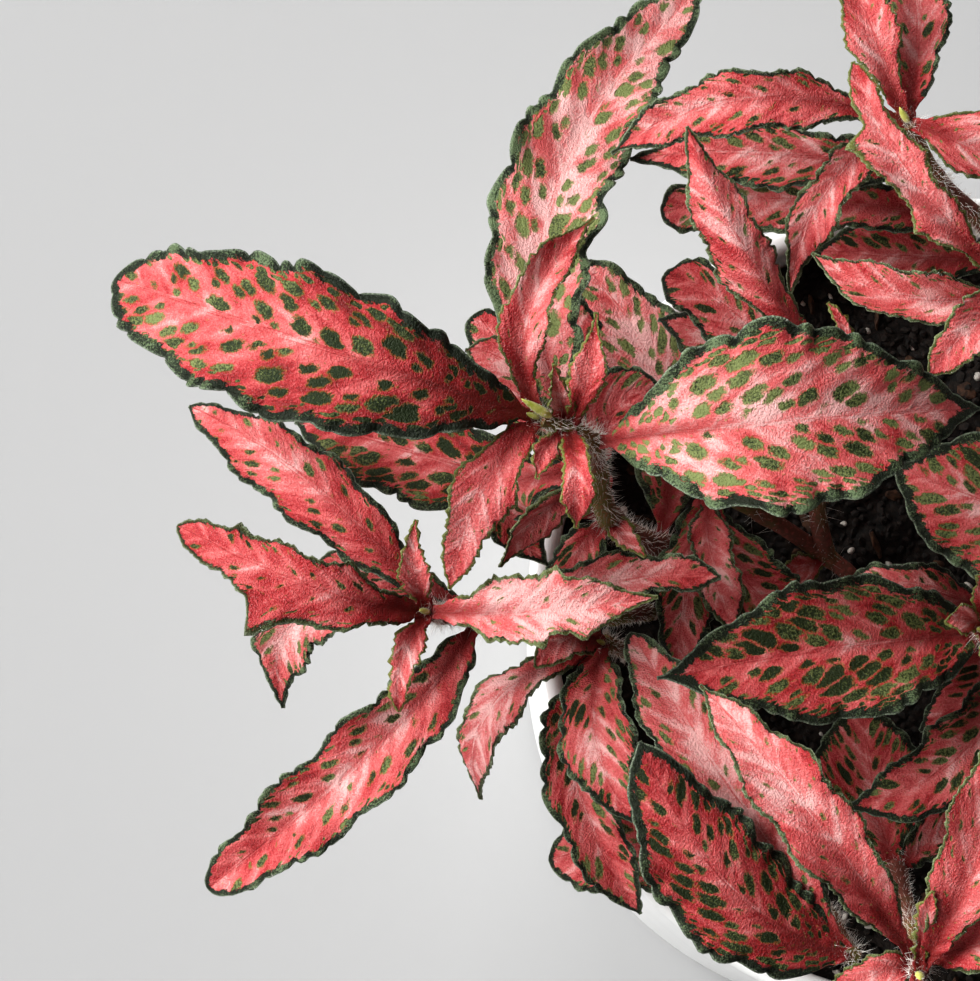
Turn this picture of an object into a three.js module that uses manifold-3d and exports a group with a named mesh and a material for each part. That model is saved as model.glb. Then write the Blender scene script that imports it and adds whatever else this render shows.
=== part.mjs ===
import * as THREE from 'three';
import { mergeVertices } from 'three/addons/utils/BufferGeometryUtils.js';
import Module from 'manifold-3d';

// A nerve plant with red and green leaves in a white pot, in millimetres.
// The origin is the middle of the pot's underside and +Z is up.

const wasm = await Module();
wasm.setup();

// Pot
const POT_HEIGHT = 107;
const RIM_RADIUS = 60;
const FOOT_RADIUS = 55;
const WALL = 4;
const FLOOR = 6;
const FOOT_ROUND = 4.2;
const CORNER_ROUND = 6;
const POT_SEGMENTS = 40;

// Soil
const CLEARANCE = 0.3;
const SOIL_BELOW_RIM = 12;
const SOIL_BUMP = 0.8;
const SOIL_RINGS = 6;
const HOLE_DEPTH = 16;
const HOLE_GAP = 0.6;
const HOLE_SEGMENTS = 8;

// Plant
const FOOT_UP = -26;
const COLLAR_UP = -9;
const STEM_SIDES = 6;
const STEM_TIP_RADIUS = 1.1;
const BUD_RADIUS = 1.8;
const FEWEST_ROWS = 4;
const MOST_ROWS = 11;
const BLADE = 0.7;
const RIB = 0.5;
const PETIOLE = 0.9;
const ROOT_SHARE = 0.3;
const TIP_WIDTH = 0.3;
const BROAD = 8;
const ROW_SPACING = 5.4;
const TOOTH_SPACING = 11;
const RUFFLE_SPACING = 17;
const TOOTH = 0.5;
const TIP_CROWDING = 0.35;

// The plant is laid out as it looks from above: x and y are where a place appears on the level of the rim from
// VIEW_POINT, which is measured from the middle of the rim, and up is its real height over the rim.
const VIEW_POINT = new THREE.Vector3(-65.4, -51.9, 557.8);

function place([x, y, up]) {
  const point = new THREE.Vector3(x, y, 0).lerp(VIEW_POINT, up / VIEW_POINT.z);
  point.z += POT_HEIGHT;
  return point;
}

// Widths shrink with height as places do.
function trueWidth(width, up) {
  return width * (1 - up / VIEW_POINT.z);
}

// One leaf grows from the stem's point number from, through its middle to its tip. Age 0 is a new leaf, folded and
// plain, and 1 is a full-grown one. peak is how far along it is widest, base and point how sharp its ends are, fold
// the angle of its two halves and roll its turn about its midrib, in degrees, and ruffle the height of its waves.
function leaf(from, middle, tip, halfWidth, age, options = {}) {
  const usual = { peak: 0.52, base: 1.15, point: 1, roll: 0, fold: 26 - 18 * age, ruffle: 0.4 + 0.6 * age };
  return { from, middle, tip, halfWidth, ...usual, ...options };
}

// Stems: x, y and up of each point, from the collar at the soil to the tip.
// Leaves: opposite pairs, from the oldest at the bottom to the newest.
const SHOOTS = [
  {
    name: 'leafy_stem_west_high',
    radius: 1.9,
    stems: [[
      [-33, 8], [-41, 8.5, 11.5], [-48, 12.5, 28.5], [-50, 19, 40], [-50.6, 23.4, 47], [-54, 25.6, 51],
      [-58.2, 27.1, 54],
    ]],
    leaves: [
      leaf(2, [-41, 30, 9], [-52.3, 50, 11], 7.2, 1, { point: 0.6, peak: 0.55 }),
      leaf(3, [-74, 21, 26], [-93.5, 26.5, 16.5], 7, 1),
      leaf(3, [-60, 31, 20], [-67.5, 42.5, 17.5], 5, 1, { point: 0.5, peak: 0.6 }),
      leaf(3, [-52.5, 34, 27], [-53, 45, 25], 4, 1, { point: 0.6 }),
      leaf(3, [-53, 6, 24.5], [-54, -3.6, 22.8], 4, 0.9),
      leaf(3, [-46, 10, 31], [-43, 7, 32.5], 2, 0.3),
      leaf(4, [-57.6, 55.5, 37.5], [-34.5, 91, 21.5], 8.2, 1, { point: 0.6, peak: 0.58, fold: 9 }),
      leaf(4, [-58, 13, 37.5], [-64, 5.6, 31], 3.2, 0.5, { roll: 50 }),
      leaf(4, [-62.5, 16, 31.5], [-57, 5.7, 24], 5, 0.9),
      leaf(4, [-61, 33, 35], [-69, 37, 33], 3.6, 0.6),
      leaf(4, [-47.5, 28.5, 43], [-40.5, 31, 41], 5, 0.9, { point: 0.7 }),
      leaf(4, [-54, 28.5, 37], [-53.8, 38, 35], 3.4, 0.7, { point: 0.5 }),
      leaf(7, [-88, 36.2, 65], [-119.8, 47.4, 46], 11.3, 1, { point: 0.5, peak: 0.6, fold: 0 }),
      leaf(5, [-24, 27, 62], [6, 28.5, 46.5], 14, 1, { point: 1.25, peak: 0.5, base: 1.5 }),
      leaf(7, [-60.2, 42, 59], [-50.3, 56.5, 56.5], 3.8, 0.4, { fold: 30 }),
      leaf(7, [-66, 17, 55.5], [-71.2, 2.4, 45], 4.2, 0.4, { fold: 8 }),
      leaf(6, [-51.3, 33.4, 58.5], [-50, 42.6, 61], 2.4, 0.2, { peak: 0.4 }),
      leaf(6, [-52.8, 19, 59], [-53, 11.2, 56.5], 2.5, 0.2),
      leaf(6, [-55.4, 30.5, 56], [-56.2, 35, 59.5], 1.8, 0),
      leaf(6, [-57.2, 22.5, 55.5], [-58.6, 18.2, 56.5], 1.4, 0),
    ],
  },
  {
    name: 'leafy_stem_west_low',
    radius: 1.4,
    stems: [[[-43, -1], [-48, -1.5, 6], [-57, -2, 16.5], [-67, -1.8, 28.5], [-72.5, -1.4, 35.5], [-74.2, -1, 39]]],
    leaves: [
      leaf(4, [-48.5, 3.8, 30], [-32.2, 4, 31.5], 3.2, 0.7, { point: 0.6, base: 0.7 }),
      leaf(4, [-80, 5, 29], [-91, 5.5, 26.5], 3, 0.7),
      leaf(4, [-90.5, -0.8, 25], [-95, -14.7, 15], 4.6, 0.8, { peak: 0.62, base: 1.4 }),
      leaf(4, [-80.2, -19.4, 33], [-105.5, -40.5, 21.5], 6.3, 0.9, { peak: 0.62, point: 0.5, fold: 20 }),
      leaf(5, [-91, 17, 37], [-108.8, 28.8, 28], 5.8, 0.9, { point: 0.7, fold: -22 }),
      leaf(6, [-91, 2.3, 48], [-110.3, 11.5, 39.5], 4.6, 0.6, { point: 0.6 }),
      leaf(6, [-58, -0.5, 47.5], [-41.3, 1.2, 48], 4.4, 0.5, { peak: 0.45 }),
      leaf(6, [-76.4, 5.5, 43], [-76, 12.3, 43], 2, 0.2),
      leaf(6, [-77.7, -8, 43], [-78.4, -15.2, 40], 2.2, 0.2),
    ],
  },
  {
    name: 'leafy_stem_southwest',
    radius: 1.3,
    stems: [[[-36, -10], [-42, -8, 3], [-49, -5.5, 13.5]]],
    leaves: [
      leaf(3, [-64.5, -14.5, 16], [-66.7, -27.7, 4], 3.7, 0.6, { fold: 6, roll: -26 }),
      leaf(3, [-54, -5, 20], [-59, -9, 21.5], 3, 0.5),
      leaf(3, [-52.8, -23, 17.5], [-44, -44, 11], 5.4, 1, { point: 0.6, fold: 22, roll: -14 }),
      leaf(3, [-50, -18, 22], [-45, -31, 21], 6, 0.9, { fold: 12, roll: -26 }),
    ],
  },
  {
    name: 'leafy_stem_south_left',
    radius: 1.4,
    stems: [[[-24, -28], [-22, -36, 6], [-17, -45, 16.5], [-14, -50, 24]]],
    leaves: [
      leaf(2, [-42, -34.8, 9], [-57, -36.5, 6], 5.8, 1, { peak: 0.62, point: 0.5 }),
      leaf(4, [-31.3, -40.7, 32], [-44, -19.5, 37], 8.8, 1, { point: 0.8, base: 0.8, fold: -8 }),
      leaf(4, [-31, -27, 29], [-45.3, -4, 19.5], 6.2, 0.8, { peak: 0.58, point: 0.7 }),
    ],
  },
  {
    name: 'leafy_stem_south',
    radius: 1.5,
    stems: [[[-9, -31], [-7.5, -38, 8], [-5.5, -46, 23.5], [-4.7, -51, 33], [-4.5, -52.3, 36.5]]],
    leaves: [
      leaf(2, [-11, -27, 6], [-12.5, -12.5, 4], 8.4, 1),
      leaf(2, [-2, -33, 8], [6, -28, 5], 3.5, 1),
      leaf(4, [-19.5, -30.5, 45.5], [-35.3, -11.5, 39.5], 5.5, 0.6),
      leaf(4, [12, -46, 40], [30, -44, 33], 6, 0.6),
      leaf(4, [-11, -53, 35], [-18, -57, 31], 3.4, 0.5),
      leaf(5, [5, -33, 45], [12, -11, 43], 6, 0.5),
      leaf(5, [-10, -68, 38], [-18, -86, 26.5], 6, 0.5),
      leaf(5, [-3.8, -46, 40.5], [-2.4, -40.8, 44], 1.5, 0),
    ],
  },
  {
    name: 'leafy_stem_middle',
    radius: 1.4,
    stems: [[[14, -4], [11, -4, 10], [7, -4, 25], [5.3, -3.6, 31.5]]],
    leaves: [
      leaf(2, [-3, 2.2, 21], [-15.5, 2.8, 19], 3.5, 0.9),
      leaf(2, [6, -11, 15], [-4, -18, 13.5], 5.6, 0.9),
      leaf(2, [3, -21, 22.5], [-15, -29, 19], 6, 1),
      leaf(3, [-15, -6.5, 34.5], [-41.5, -10.5, 35], 10.8, 1, { point: 1.25, fold: 18 }),
      leaf(3, [22, -7, 29], [40, -12, 24], 7, 1),
      leaf(4, [2.5, -2.2, 35], [-0.2, -2.6, 36.5], 1.7, 0.1),
      leaf(4, [9, -4.5, 35.5], [13, -6, 38], 2, 0.1),
      leaf(4, [7, 4, 36.5], [9, 11, 38], 2.8, 0.3),
      leaf(4, [8, -11, 36.5], [9, -19, 35], 3, 0.3),
    ],
  },
  {
    name: 'leafy_stem_branched',
    radius: 1.4,
    stems: [
      [[-13.5, 4], [-17, 7, -6], [-26, 13, 2], [-34, 17, 10]],
      [[-17, 7, -6], [-18.3, 14, 3], [-18, 26, 21.5], [-17.5, 36, 40]],
    ],
    leaves: [
      leaf(2, [-20.5, 5, -3], [-25, 4, 0], 2, 0.4),
      leaf(4, [-36.4, 4, 18], [-38.8, -9.5, 13], 5.2, 1),
      leaf(4, [-33.2, 6.5, 21], [-29.5, -6, 21.5], 3.1, 0.6),
      leaf(4, [-28, 3, 14], [-17, -2, 13.5], 5.5, 1),
      leaf(7, [-31, 42.6, 25], [-40.5, 47.4, 23.5], 4.7, 0.9, { point: 0.6 }),
      leaf(7, [-31, 37, 21], [-41, 41.5, 17.5], 4, 1),
      leaf(8, [-29, 52, 49], [-36.7, 70, 49], 5.1, 0.6, { fold: -32 }),
      leaf(8, [-14, 39, 43], [-16.5, 44, 44], 1.8, 0.1),
    ],
  },
  {
    name: 'leafy_stem_north',
    radius: 1.4,
    stems: [[[9, 45], [10, 50, 11.5], [6, 56, 25], [-0.5, 62.5, 34], [-4.5, 70.5, 40.5]]],
    leaves: [
      leaf(2, [-7, 50.5, 16], [-18.5, 51.5, 15], 5.2, 1),
      leaf(2, [13, 57, 18], [17, 63, 17], 4.5, 1),
      leaf(3, [-23, 58.8, 26], [-40.5, 57, 22], 4.6, 0.9, { point: 0.45, peak: 0.55, base: 0.8 }),
      leaf(4, [-24, 65.5, 33], [-45, 65.2, 30], 4.7, 0.9),
      leaf(5, [-3.2, 86, 37], [-3, 103, 27], 4.7, 0.8),
      leaf(5, [-28, 73.6, 46.5], [-47.7, 66, 40.5], 4.6, 0.7),
      leaf(5, [-16.4, 60, 40], [-22, 45, 36.5], 3.4, 0.6),
      leaf(5, [-10.3, 86, 43], [-12.8, 101, 38], 3.9, 0.4),
      leaf(5, [7, 66.3, 44], [20, 59.5, 38.5], 5, 0.5),
    ],
  },
  {
    name: 'leafy_stem_north_middle',
    radius: 1.4,
    stems: [[[18, 30], [16, 35, 10], [13, 41, 26.5], [12, 46, 45]]],
    leaves: [
      leaf(4, [-3.2, 60.5, 53], [-12.4, 79.6, 51.5], 3.1, 0.4, { point: 0.6 }),
      leaf(4, [-5, 44.5, 46.5], [-18.7, 51.3, 45], 5, 0.6, { fold: 42 }),
      leaf(4, [4.5, 40, 48], [-2, 33.3, 48], 4, 0.5),
      leaf(4, [28, 44, 49], [44, 36, 46.5], 7, 0.7),
      leaf(4, [22, 60, 50], [27, 78, 48], 5, 0.5),
    ],
  },
  {
    name: 'leafy_stem_east_middle',
    radius: 1.5,
    stems: [[[34, -2], [34, 2, 8], [33.5, 6, 23.5], [33, 8, 31.5]]],
    leaves: [
      leaf(3, [13, 12, 28.5], [-7, 20, 24], 11.5, 1, { point: 0.8 }),
      leaf(3, [50, 2, 28.5], [68, -2, 21.5], 9, 1),
      leaf(4, [38, 22, 40], [46, 34, 40], 5.5, 0.6),
      leaf(4, [30, -8, 38], [24, -24, 35], 5.5, 0.6),
      leaf(4, [40, 8, 37.5], [47, 7, 40.5], 2.6, 0.2),
      leaf(4, [27, 11, 38], [20, 13, 41.5], 2.6, 0.2),
    ],
  },
  {
    name: 'leafy_stem_northeast',
    radius: 1.5,
    stems: [[[38, 22], [43, 25, 11.5], [50, 29, 28.5], [54, 31, 38]]],
    leaves: [
      leaf(2, [58, 28, 14], [72, 30, 9], 6, 1),
      leaf(3, [67, 16, 29], [83, 5, 20.5], 8, 1),
      leaf(3, [38, 42, 35], [26, 54, 36.5], 7, 1),
      leaf(4, [66, 46, 41.5], [76, 60, 33], 8.5, 0.9),
      leaf(4, [42, 20, 49], [32, 13, 49], 6, 0.7),
      leaf(4, [52, 37, 45], [50, 42, 48], 2.4, 0.2),
      leaf(4, [57, 26, 45], [60, 21, 48], 2.4, 0.2),
    ],
  },
  {
    name: 'leafy_stem_east',
    radius: 1.5,
    stems: [[[43, -12], [50, -13, 10], [60, -12, 23.5], [68, -10, 33], [70, -9.5, 36.5]]],
    leaves: [
      leaf(3, [66, -26, 20], [68, -40, 13.5], 6, 1),
      leaf(4, [72, 7, 38], [74, 24, 33], 8, 1),
      leaf(4, [76, -28, 36.5], [82, -46, 26.5], 8, 1),
      leaf(5, [90, -10, 40.5], [108, -14, 28.5], 9, 0.9),
      leaf(5, [54, -8, 45], [40, -4, 46.5], 6.5, 0.7),
      leaf(5, [71, -4, 43], [72, 2, 46.5], 2.4, 0.2),
      leaf(5, [70, -15, 43], [69, -21, 46.5], 2.4, 0.2),
    ],
  },
  {
    name: 'leafy_stem_southeast',
    radius: 1.5,
    stems: [[[27, -28], [30, -35, 11.5], [36, -42, 28.5], [39, -45, 36.5]]],
    leaves: [
      leaf(2, [44, -36, 14], [58, -40, 10], 6, 1),
      leaf(2, [20, -36, 13.5], [12, -36, 10], 4.5, 1),
      leaf(3, [34, -60, 31.5], [30, -80, 21.5], 8, 1),
      leaf(3, [38, -26, 33], [38, -10, 30], 6, 1),
      leaf(4, [54, -48, 41.5], [66, -56, 33], 6.5, 0.8),
      leaf(4, [24, -51, 44], [12, -58, 43], 5, 0.6),
      leaf(4, [40, -38, 43], [42, -32, 46.5], 2.4, 0.2),
      leaf(4, [38, -52, 43], [37, -58, 46.5], 2.4, 0.2),
    ],
  },
  {
    name: 'leafy_stem_far_north',
    radius: 1.4,
    stems: [[[20, 42], [25, 50, 10], [32, 59, 25], [36, 64, 35]]],
    leaves: [
      leaf(3, [48, 66, 28.5], [64, 72, 20], 7.5, 1),
      leaf(3, [20, 61, 30], [9, 62, 28.5], 5, 1),
      leaf(4, [40, 82, 38], [42, 98, 28.5], 8, 0.9),
      leaf(4, [38, 57, 40], [40, 50, 40.5], 3.2, 0.5),
      leaf(4, [43, 67, 40.5], [49, 69, 44], 2.6, 0.2),
      leaf(4, [31, 66, 40.5], [26, 68, 44], 2.4, 0.2),
    ],
  },
];

// A closed mesh as a solid that can be joined and cut.
function solidFrom(geometry) {
  geometry.deleteAttribute('normal');
  geometry.deleteAttribute('uv');
  const merged = mergeVertices(geometry);
  const corners = Array.from(merged.index.array);
  const triVerts = [];
  for (let i = 0; i < corners.length; i += 3) {
    const [a, b, c] = corners.slice(i, i + 3);
    if (a !== b && b !== c && c !== a) triVerts.push(a, b, c);
  }
  return new wasm.Manifold(new wasm.Mesh({
    numProp: 3,
    vertProperties: Float32Array.from(merged.attributes.position.array),
    triVerts: Uint32Array.from(triVerts),
  }));
}

function meshFrom(solid, name, material) {
  const { vertProperties, triVerts } = solid.getMesh();
  const geometry = new THREE.BufferGeometry();
  geometry.setAttribute('position', new THREE.BufferAttribute(vertProperties, 3));
  geometry.setIndex(new THREE.BufferAttribute(triVerts, 1));
  geometry.computeVertexNormals();
  const mesh = new THREE.Mesh(geometry, material);
  mesh.name = name;
  return mesh;
}

// A closed skin over rings of points, all with the same count, with flat ends.
function skin(rings) {
  const sides = rings[0].length;
  const positions = rings.flat().flatMap((point) => point.toArray());
  const index = [];
  for (let i = 0; i + 1 < rings.length; i += 1) {
    for (let j = 0; j < sides; j += 1) {
      const a = i * sides + j;
      const b = i * sides + (j + 1) % sides;
      index.push(a, b, b + sides, a, b + sides, a + sides);
    }
  }
  const last = (rings.length - 1) * sides;
  for (let j = 1; j + 1 < sides; j += 1) {
    index.push(0, j + 1, j, last, last + j, last + j + 1);
  }
  const geometry = new THREE.BufferGeometry();
  geometry.setAttribute('position', new THREE.Float32BufferAttribute(positions, 3));
  geometry.setIndex(index);
  return geometry;
}

// Stems

// A stem's points, with the buried foot below the collar that the list starts with. A side branch has no foot.
function stemPoints(stem) {
  const [first, ...rest] = stem;
  if (first.length === 3) return stem.map(place);
  const [x, y] = place([...first, COLLAR_UP]).toArray();
  const foot = new THREE.Vector3(x, y, POT_HEIGHT + FOOT_UP);
  const collar = new THREE.Vector3(x, y, POT_HEIGHT + COLLAR_UP);
  return [foot, collar, ...rest.map(place)];
}

function stemSolid(points, radius) {
  const curve = new THREE.CatmullRomCurve3(points, false, 'catmullrom', 0.5);
  const spans = points.length - 1;
  const lean = points.at(-1).clone().sub(points[0]).setZ(0).normalize();
  const rings = [];
  for (let i = 0; i <= spans; i += 1) {
    const centre = curve.getPoint(i / spans);
    const tangent = curve.getTangent(i / spans);
    const side = new THREE.Vector3(-lean.y, lean.x, 0).cross(tangent).normalize();
    const front = tangent.clone().cross(side).normalize();
    const reach = THREE.MathUtils.lerp(radius, STEM_TIP_RADIUS, i / spans);
    const ring = [];
    for (let j = 0; j < STEM_SIDES; j += 1) {
      const turn = 2 * Math.PI * j / STEM_SIDES;
      ring.push(centre.clone()
        .addScaledVector(side, reach * Math.cos(turn))
        .addScaledVector(front, reach * Math.sin(turn)));
    }
    rings.push(ring);
  }
  return solidFrom(skin(rings));
}

// Leaves

// The half width at t, as a share of the widest: 0 at the base, 1 at the peak and 0 at the tip.
function outline(t, { peak, base, point }) {
  const away = t < peak ? (peak - t) / peak : (t - peak) / (1 - peak);
  return (1 - away * away) ** (t < peak ? base : point);
}

// Rows lie closer together towards the tip.
function closer(share) {
  return share * (1 + TIP_CROWDING * (1 - share));
}

// The leaf's midrib is a curve through its base, middle and tip; each row across it is folded, rolled and ruffled.
function leafRows(root, shape, across) {
  const { middle, tip, halfWidth, fold, roll, ruffle } = shape;
  const [b, c] = [place(middle), place(tip)];
  const length = root.distanceTo(b) + b.distanceTo(c);
  const rows = THREE.MathUtils.clamp(Math.round(length / ROW_SPACING), FEWEST_ROWS, MOST_ROWS);
  const teeth = 2 * Math.PI * length / TOOTH_SPACING;
  const ruffles = 2 * Math.PI * length / RUFFLE_SPACING;
  const wide = trueWidth(halfWidth, middle[2]);
  const phase = 0.9 * tip[0] + 0.37 * tip[1];
  const chord = c.clone().sub(root);
  const [folded, rolled] = [fold, roll].map(THREE.MathUtils.degToRad);
  const tops = [];
  const bottoms = [];
  for (let i = 0; i <= rows; i += 1) {
    const t = closer(i / rows);
    const centre = root.clone().multiplyScalar((1 - t) * (1 - 2 * t))
      .addScaledVector(b, 4 * t * (1 - t))
      .addScaledVector(c, t * (2 * t - 1));
    const tangent = root.clone().multiplyScalar(4 * t - 3)
      .addScaledVector(b, 4 - 8 * t)
      .addScaledVector(c, 4 * t - 1);
    const flat = tangent.clone().addScaledVector(chord, 0.2).setZ(0).normalize();
    const level = new THREE.Vector3(flat.y, -flat.x, 0);
    tangent.normalize();
    const side = level.clone().applyAxisAngle(tangent, -rolled);
    const normal = side.clone().cross(tangent).normalize();
    const share = outline(t, shape);
    const margin = share * wide + TOOTH * Math.sqrt(share) * Math.sin(teeth * t + phase);
    const reach = Math.max(margin, t < 0.5 ? PETIOLE : TIP_WIDTH);
    const thick = BLADE / 2;
    const top = [];
    const bottom = [];
    for (const v of across) {
      const edge = Math.abs(v);
      const wave = ruffle * share * edge ** 3 * Math.sin(ruffles * t + phase + Math.sign(v));
      const at = centre.clone()
        .addScaledVector(side, v * reach * Math.cos(folded))
        .addScaledVector(normal, edge * reach * Math.sin(folded) + wave);
      const under = v === 0 ? thick + RIB * (1 - t) : thick;
      top.push(at.clone().addScaledVector(normal, thick));
      bottom.push(at.addScaledVector(normal, -under));
    }
    tops.push(top);
    bottoms.push(bottom);
  }
  return { tops, bottoms };
}

// Both faces are split alike, so that they never meet.
function leafSolid(root, shape) {
  const across = shape.halfWidth < BROAD ? [-1, 0, 1] : [-1, -0.6, 0, 0.6, 1];
  const { tops, bottoms } = leafRows(root, shape, across);
  const rings = tops.map((top, i) => [...top, ...bottoms[i].toReversed()]);
  const rows = rings.length - 1;
  const count = across.length;
  const sides = 2 * count;
  const positions = rings.flat().flatMap((point) => point.toArray());
  const index = [];
  for (let i = 0; i < rows; i += 1) {
    for (let j = 0; j < sides; j += 1) {
      const a = i * sides + j;
      const b = i * sides + (j + 1) % sides;
      const [c, d] = [a + sides, b + sides];
      index.push(...(j < count ? [a, b, c, b, d, c] : [a, d, c, a, b, d]));
    }
  }
  const last = rows * sides;
  for (let j = 0; j + 1 < count; j += 1) {
    const k = sides - 1 - j;
    index.push(j, k, j + 1, j + 1, k, k - 1);
    index.push(last + j, last + j + 1, last + k, last + j + 1, last + k - 1, last + k);
  }
  const geometry = new THREE.BufferGeometry();
  geometry.setAttribute('position', new THREE.Float32BufferAttribute(positions, 3));
  geometry.setIndex(index);
  return solidFrom(geometry);
}

// Stem points are numbered through all of a shoot's stems; a side branch starts inside its parent.
function shootSolid({ stems, radius, leaves }) {
  const points = stems.map(stemPoints);
  const numbered = points.flat();
  const parts = points.map((stem) => stemSolid(stem, radius));
  for (const shape of leaves) {
    const node = numbered[shape.from];
    const outward = place(shape.middle).sub(node).setLength(ROOT_SHARE * radius);
    parts.push(leafSolid(node.clone().add(outward), shape));
  }
  for (const stem of points) {
    const bud = new THREE.OctahedronGeometry(BUD_RADIUS, 0);
    bud.translate(...stem.at(-1).toArray());
    parts.push(solidFrom(bud));
  }
  return parts.reduce((joined, part) => joined.add(part));
}

// Pot and soil

function arc(x, z, radius, from, to, steps) {
  const points = [];
  for (let i = 0; i <= steps; i += 1) {
    const turn = THREE.MathUtils.degToRad(THREE.MathUtils.lerp(from, to, i / steps));
    points.push(new THREE.Vector2(x + radius * Math.cos(turn), z + radius * Math.sin(turn)));
  }
  return points;
}

function turned(profile) {
  const geometry = new THREE.LatheGeometry(profile, POT_SEGMENTS);
  geometry.rotateX(Math.PI / 2);
  return geometry;
}

function potSolid() {
  const inner = RIM_RADIUS - WALL;
  return solidFrom(turned([
    new THREE.Vector2(0, 0),
    ...arc(FOOT_RADIUS, FOOT_ROUND, FOOT_ROUND, -90, -8, 3),
    ...arc(RIM_RADIUS - WALL / 2, POT_HEIGHT - WALL / 2, WALL / 2, 0, 180, 5),
    ...arc(inner - CORNER_ROUND, FLOOR + CORNER_ROUND, CORNER_ROUND, 0, -90, 3),
    new THREE.Vector2(0, FLOOR),
  ]));
}

function soilSurface(x, y) {
  const ripple = Math.sin(0.31 * x + 1.3) * Math.cos(0.27 * y) + 0.6 * Math.sin(0.53 * x - 0.61 * y);
  return POT_HEIGHT - SOIL_BELOW_RIM + SOIL_BUMP * ripple;
}

function soilSolid() {
  const radius = RIM_RADIUS - WALL - CLEARANCE;
  const bottom = FLOOR + CLEARANCE;
  const top = POT_HEIGHT - SOIL_BELOW_RIM;
  const profile = [
    new THREE.Vector2(0, bottom),
    ...arc(radius - CORNER_ROUND, bottom + CORNER_ROUND, CORNER_ROUND, -90, 0, 3),
  ];
  for (let i = SOIL_RINGS; i >= 0; i -= 1) {
    profile.push(new THREE.Vector2(radius * i / SOIL_RINGS, top));
  }
  const geometry = turned(profile);
  const position = geometry.attributes.position;
  for (let i = 0; i < position.count; i += 1) {
    if (position.getZ(i) > top - 0.01) {
      position.setZ(i, soilSurface(position.getX(i), position.getY(i)));
    }
  }
  let soil = solidFrom(geometry);
  for (const { stems, radius: stemRadius } of SHOOTS) {
    const [x, y] = stemPoints(stems[0])[0].toArray();
    const reach = stemRadius + HOLE_GAP;
    const hole = new THREE.CylinderGeometry(reach, reach, 2 * HOLE_DEPTH, HOLE_SEGMENTS);
    hole.rotateX(Math.PI / 2);
    hole.translate(x, y, top);
    soil = soil.subtract(solidFrom(hole));
  }
  return soil;
}

const GLAZE = new THREE.MeshStandardMaterial({ color: '#eceae7', roughness: 0.35, metalness: 0 });
const EARTH = new THREE.MeshStandardMaterial({ color: '#1d1815', roughness: 0.95, metalness: 0 });
const FOLIAGE = new THREE.MeshStandardMaterial({ color: '#cf4652', roughness: 0.6, metalness: 0 });

const plant = new THREE.Group();
plant.add(meshFrom(potSolid(), 'pot', GLAZE));
plant.add(meshFrom(soilSolid(), 'soil', EARTH));
for (const shoot of SHOOTS) {
  plant.add(meshFrom(shootSolid(shoot), shoot.name, FOLIAGE));
}

export default plant;
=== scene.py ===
"""A nerve plant with red and green leaves in a white pot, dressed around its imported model.

The plant is laid out in millimetres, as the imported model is, and every mesh is made in metres.
"""

import logging
import math
from dataclasses import dataclass, field
from enum import Enum
from typing import Any

import bpy
import numpy as np
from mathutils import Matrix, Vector


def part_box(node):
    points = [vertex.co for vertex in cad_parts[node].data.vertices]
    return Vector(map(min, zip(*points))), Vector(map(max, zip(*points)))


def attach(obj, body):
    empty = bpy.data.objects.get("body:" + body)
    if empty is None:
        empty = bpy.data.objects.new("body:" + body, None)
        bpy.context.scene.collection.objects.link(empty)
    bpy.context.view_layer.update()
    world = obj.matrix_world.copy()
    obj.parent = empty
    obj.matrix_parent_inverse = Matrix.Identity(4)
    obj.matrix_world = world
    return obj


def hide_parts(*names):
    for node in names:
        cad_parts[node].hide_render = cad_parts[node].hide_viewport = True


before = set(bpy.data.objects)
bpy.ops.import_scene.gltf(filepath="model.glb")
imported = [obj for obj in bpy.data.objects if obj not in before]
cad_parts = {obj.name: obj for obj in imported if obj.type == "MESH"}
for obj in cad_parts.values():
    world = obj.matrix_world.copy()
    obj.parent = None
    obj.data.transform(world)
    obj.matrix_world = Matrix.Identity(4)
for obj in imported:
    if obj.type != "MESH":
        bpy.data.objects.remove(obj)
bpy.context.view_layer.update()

LOG = logging.getLogger("nerve_plant")
BODY = "root"
MM = 0.001

Place = tuple[float, float, float]
Colour = tuple[int, int, int]

# The plant is laid out as it looks from above. The x and y of a place are where it appears on the level of
# the rim from VIEW_POINT, which is measured from the middle of the rim. Up is its real height over the rim.
VIEW_POINT = np.array([-65.4, -51.9, 557.8])
RIM_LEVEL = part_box("pot")[1].z / MM
SENSOR = 36.0
FRAME_PIXELS = 980.0
FOCAL_PIXELS = 3902.4
VIEW_TILT = 7.0
SOIL_DEPTH = 12.0


class Input(Enum):
    """The kinds of input that a Geometry Nodes tree takes."""

    NUMBER = "NodeSocketFloat"
    COUNT = "NodeSocketInt"
    VECTOR = "NodeSocketVector"
    MATERIAL = "NodeSocketMaterial"
    MESH = "NodeSocketGeometry"


class Side(Enum):
    """The material slots of a leaf's mesh."""

    TOP = 0
    UNDER = 1
    BUD = 2


def linear(colour: Colour) -> tuple[float, float, float, float]:
    """Turns a colour of 0 to 255 as a screen shows it into Blender's linear values.

    Args:
        colour: Red, green and blue.

    Returns:
        The linear red, green and blue, and an alpha of 1.
    """
    shares = [value / 255 for value in colour]
    values = [share / 12.92 if share <= 0.04045 else ((share + 0.055) / 1.055) ** 2.4 for share in shares]
    return (*values, 1.0)


def new_object(name: str, data: bpy.types.ID) -> bpy.types.Object:
    """Adds an object to the scene.

    Args:
        name: Its name.
        data: Its mesh, lamp or camera.

    Returns:
        The object, at the origin.
    """
    made = bpy.data.objects.new(name, data)
    bpy.context.scene.collection.objects.link(made)
    return made


# Node trees

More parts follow.
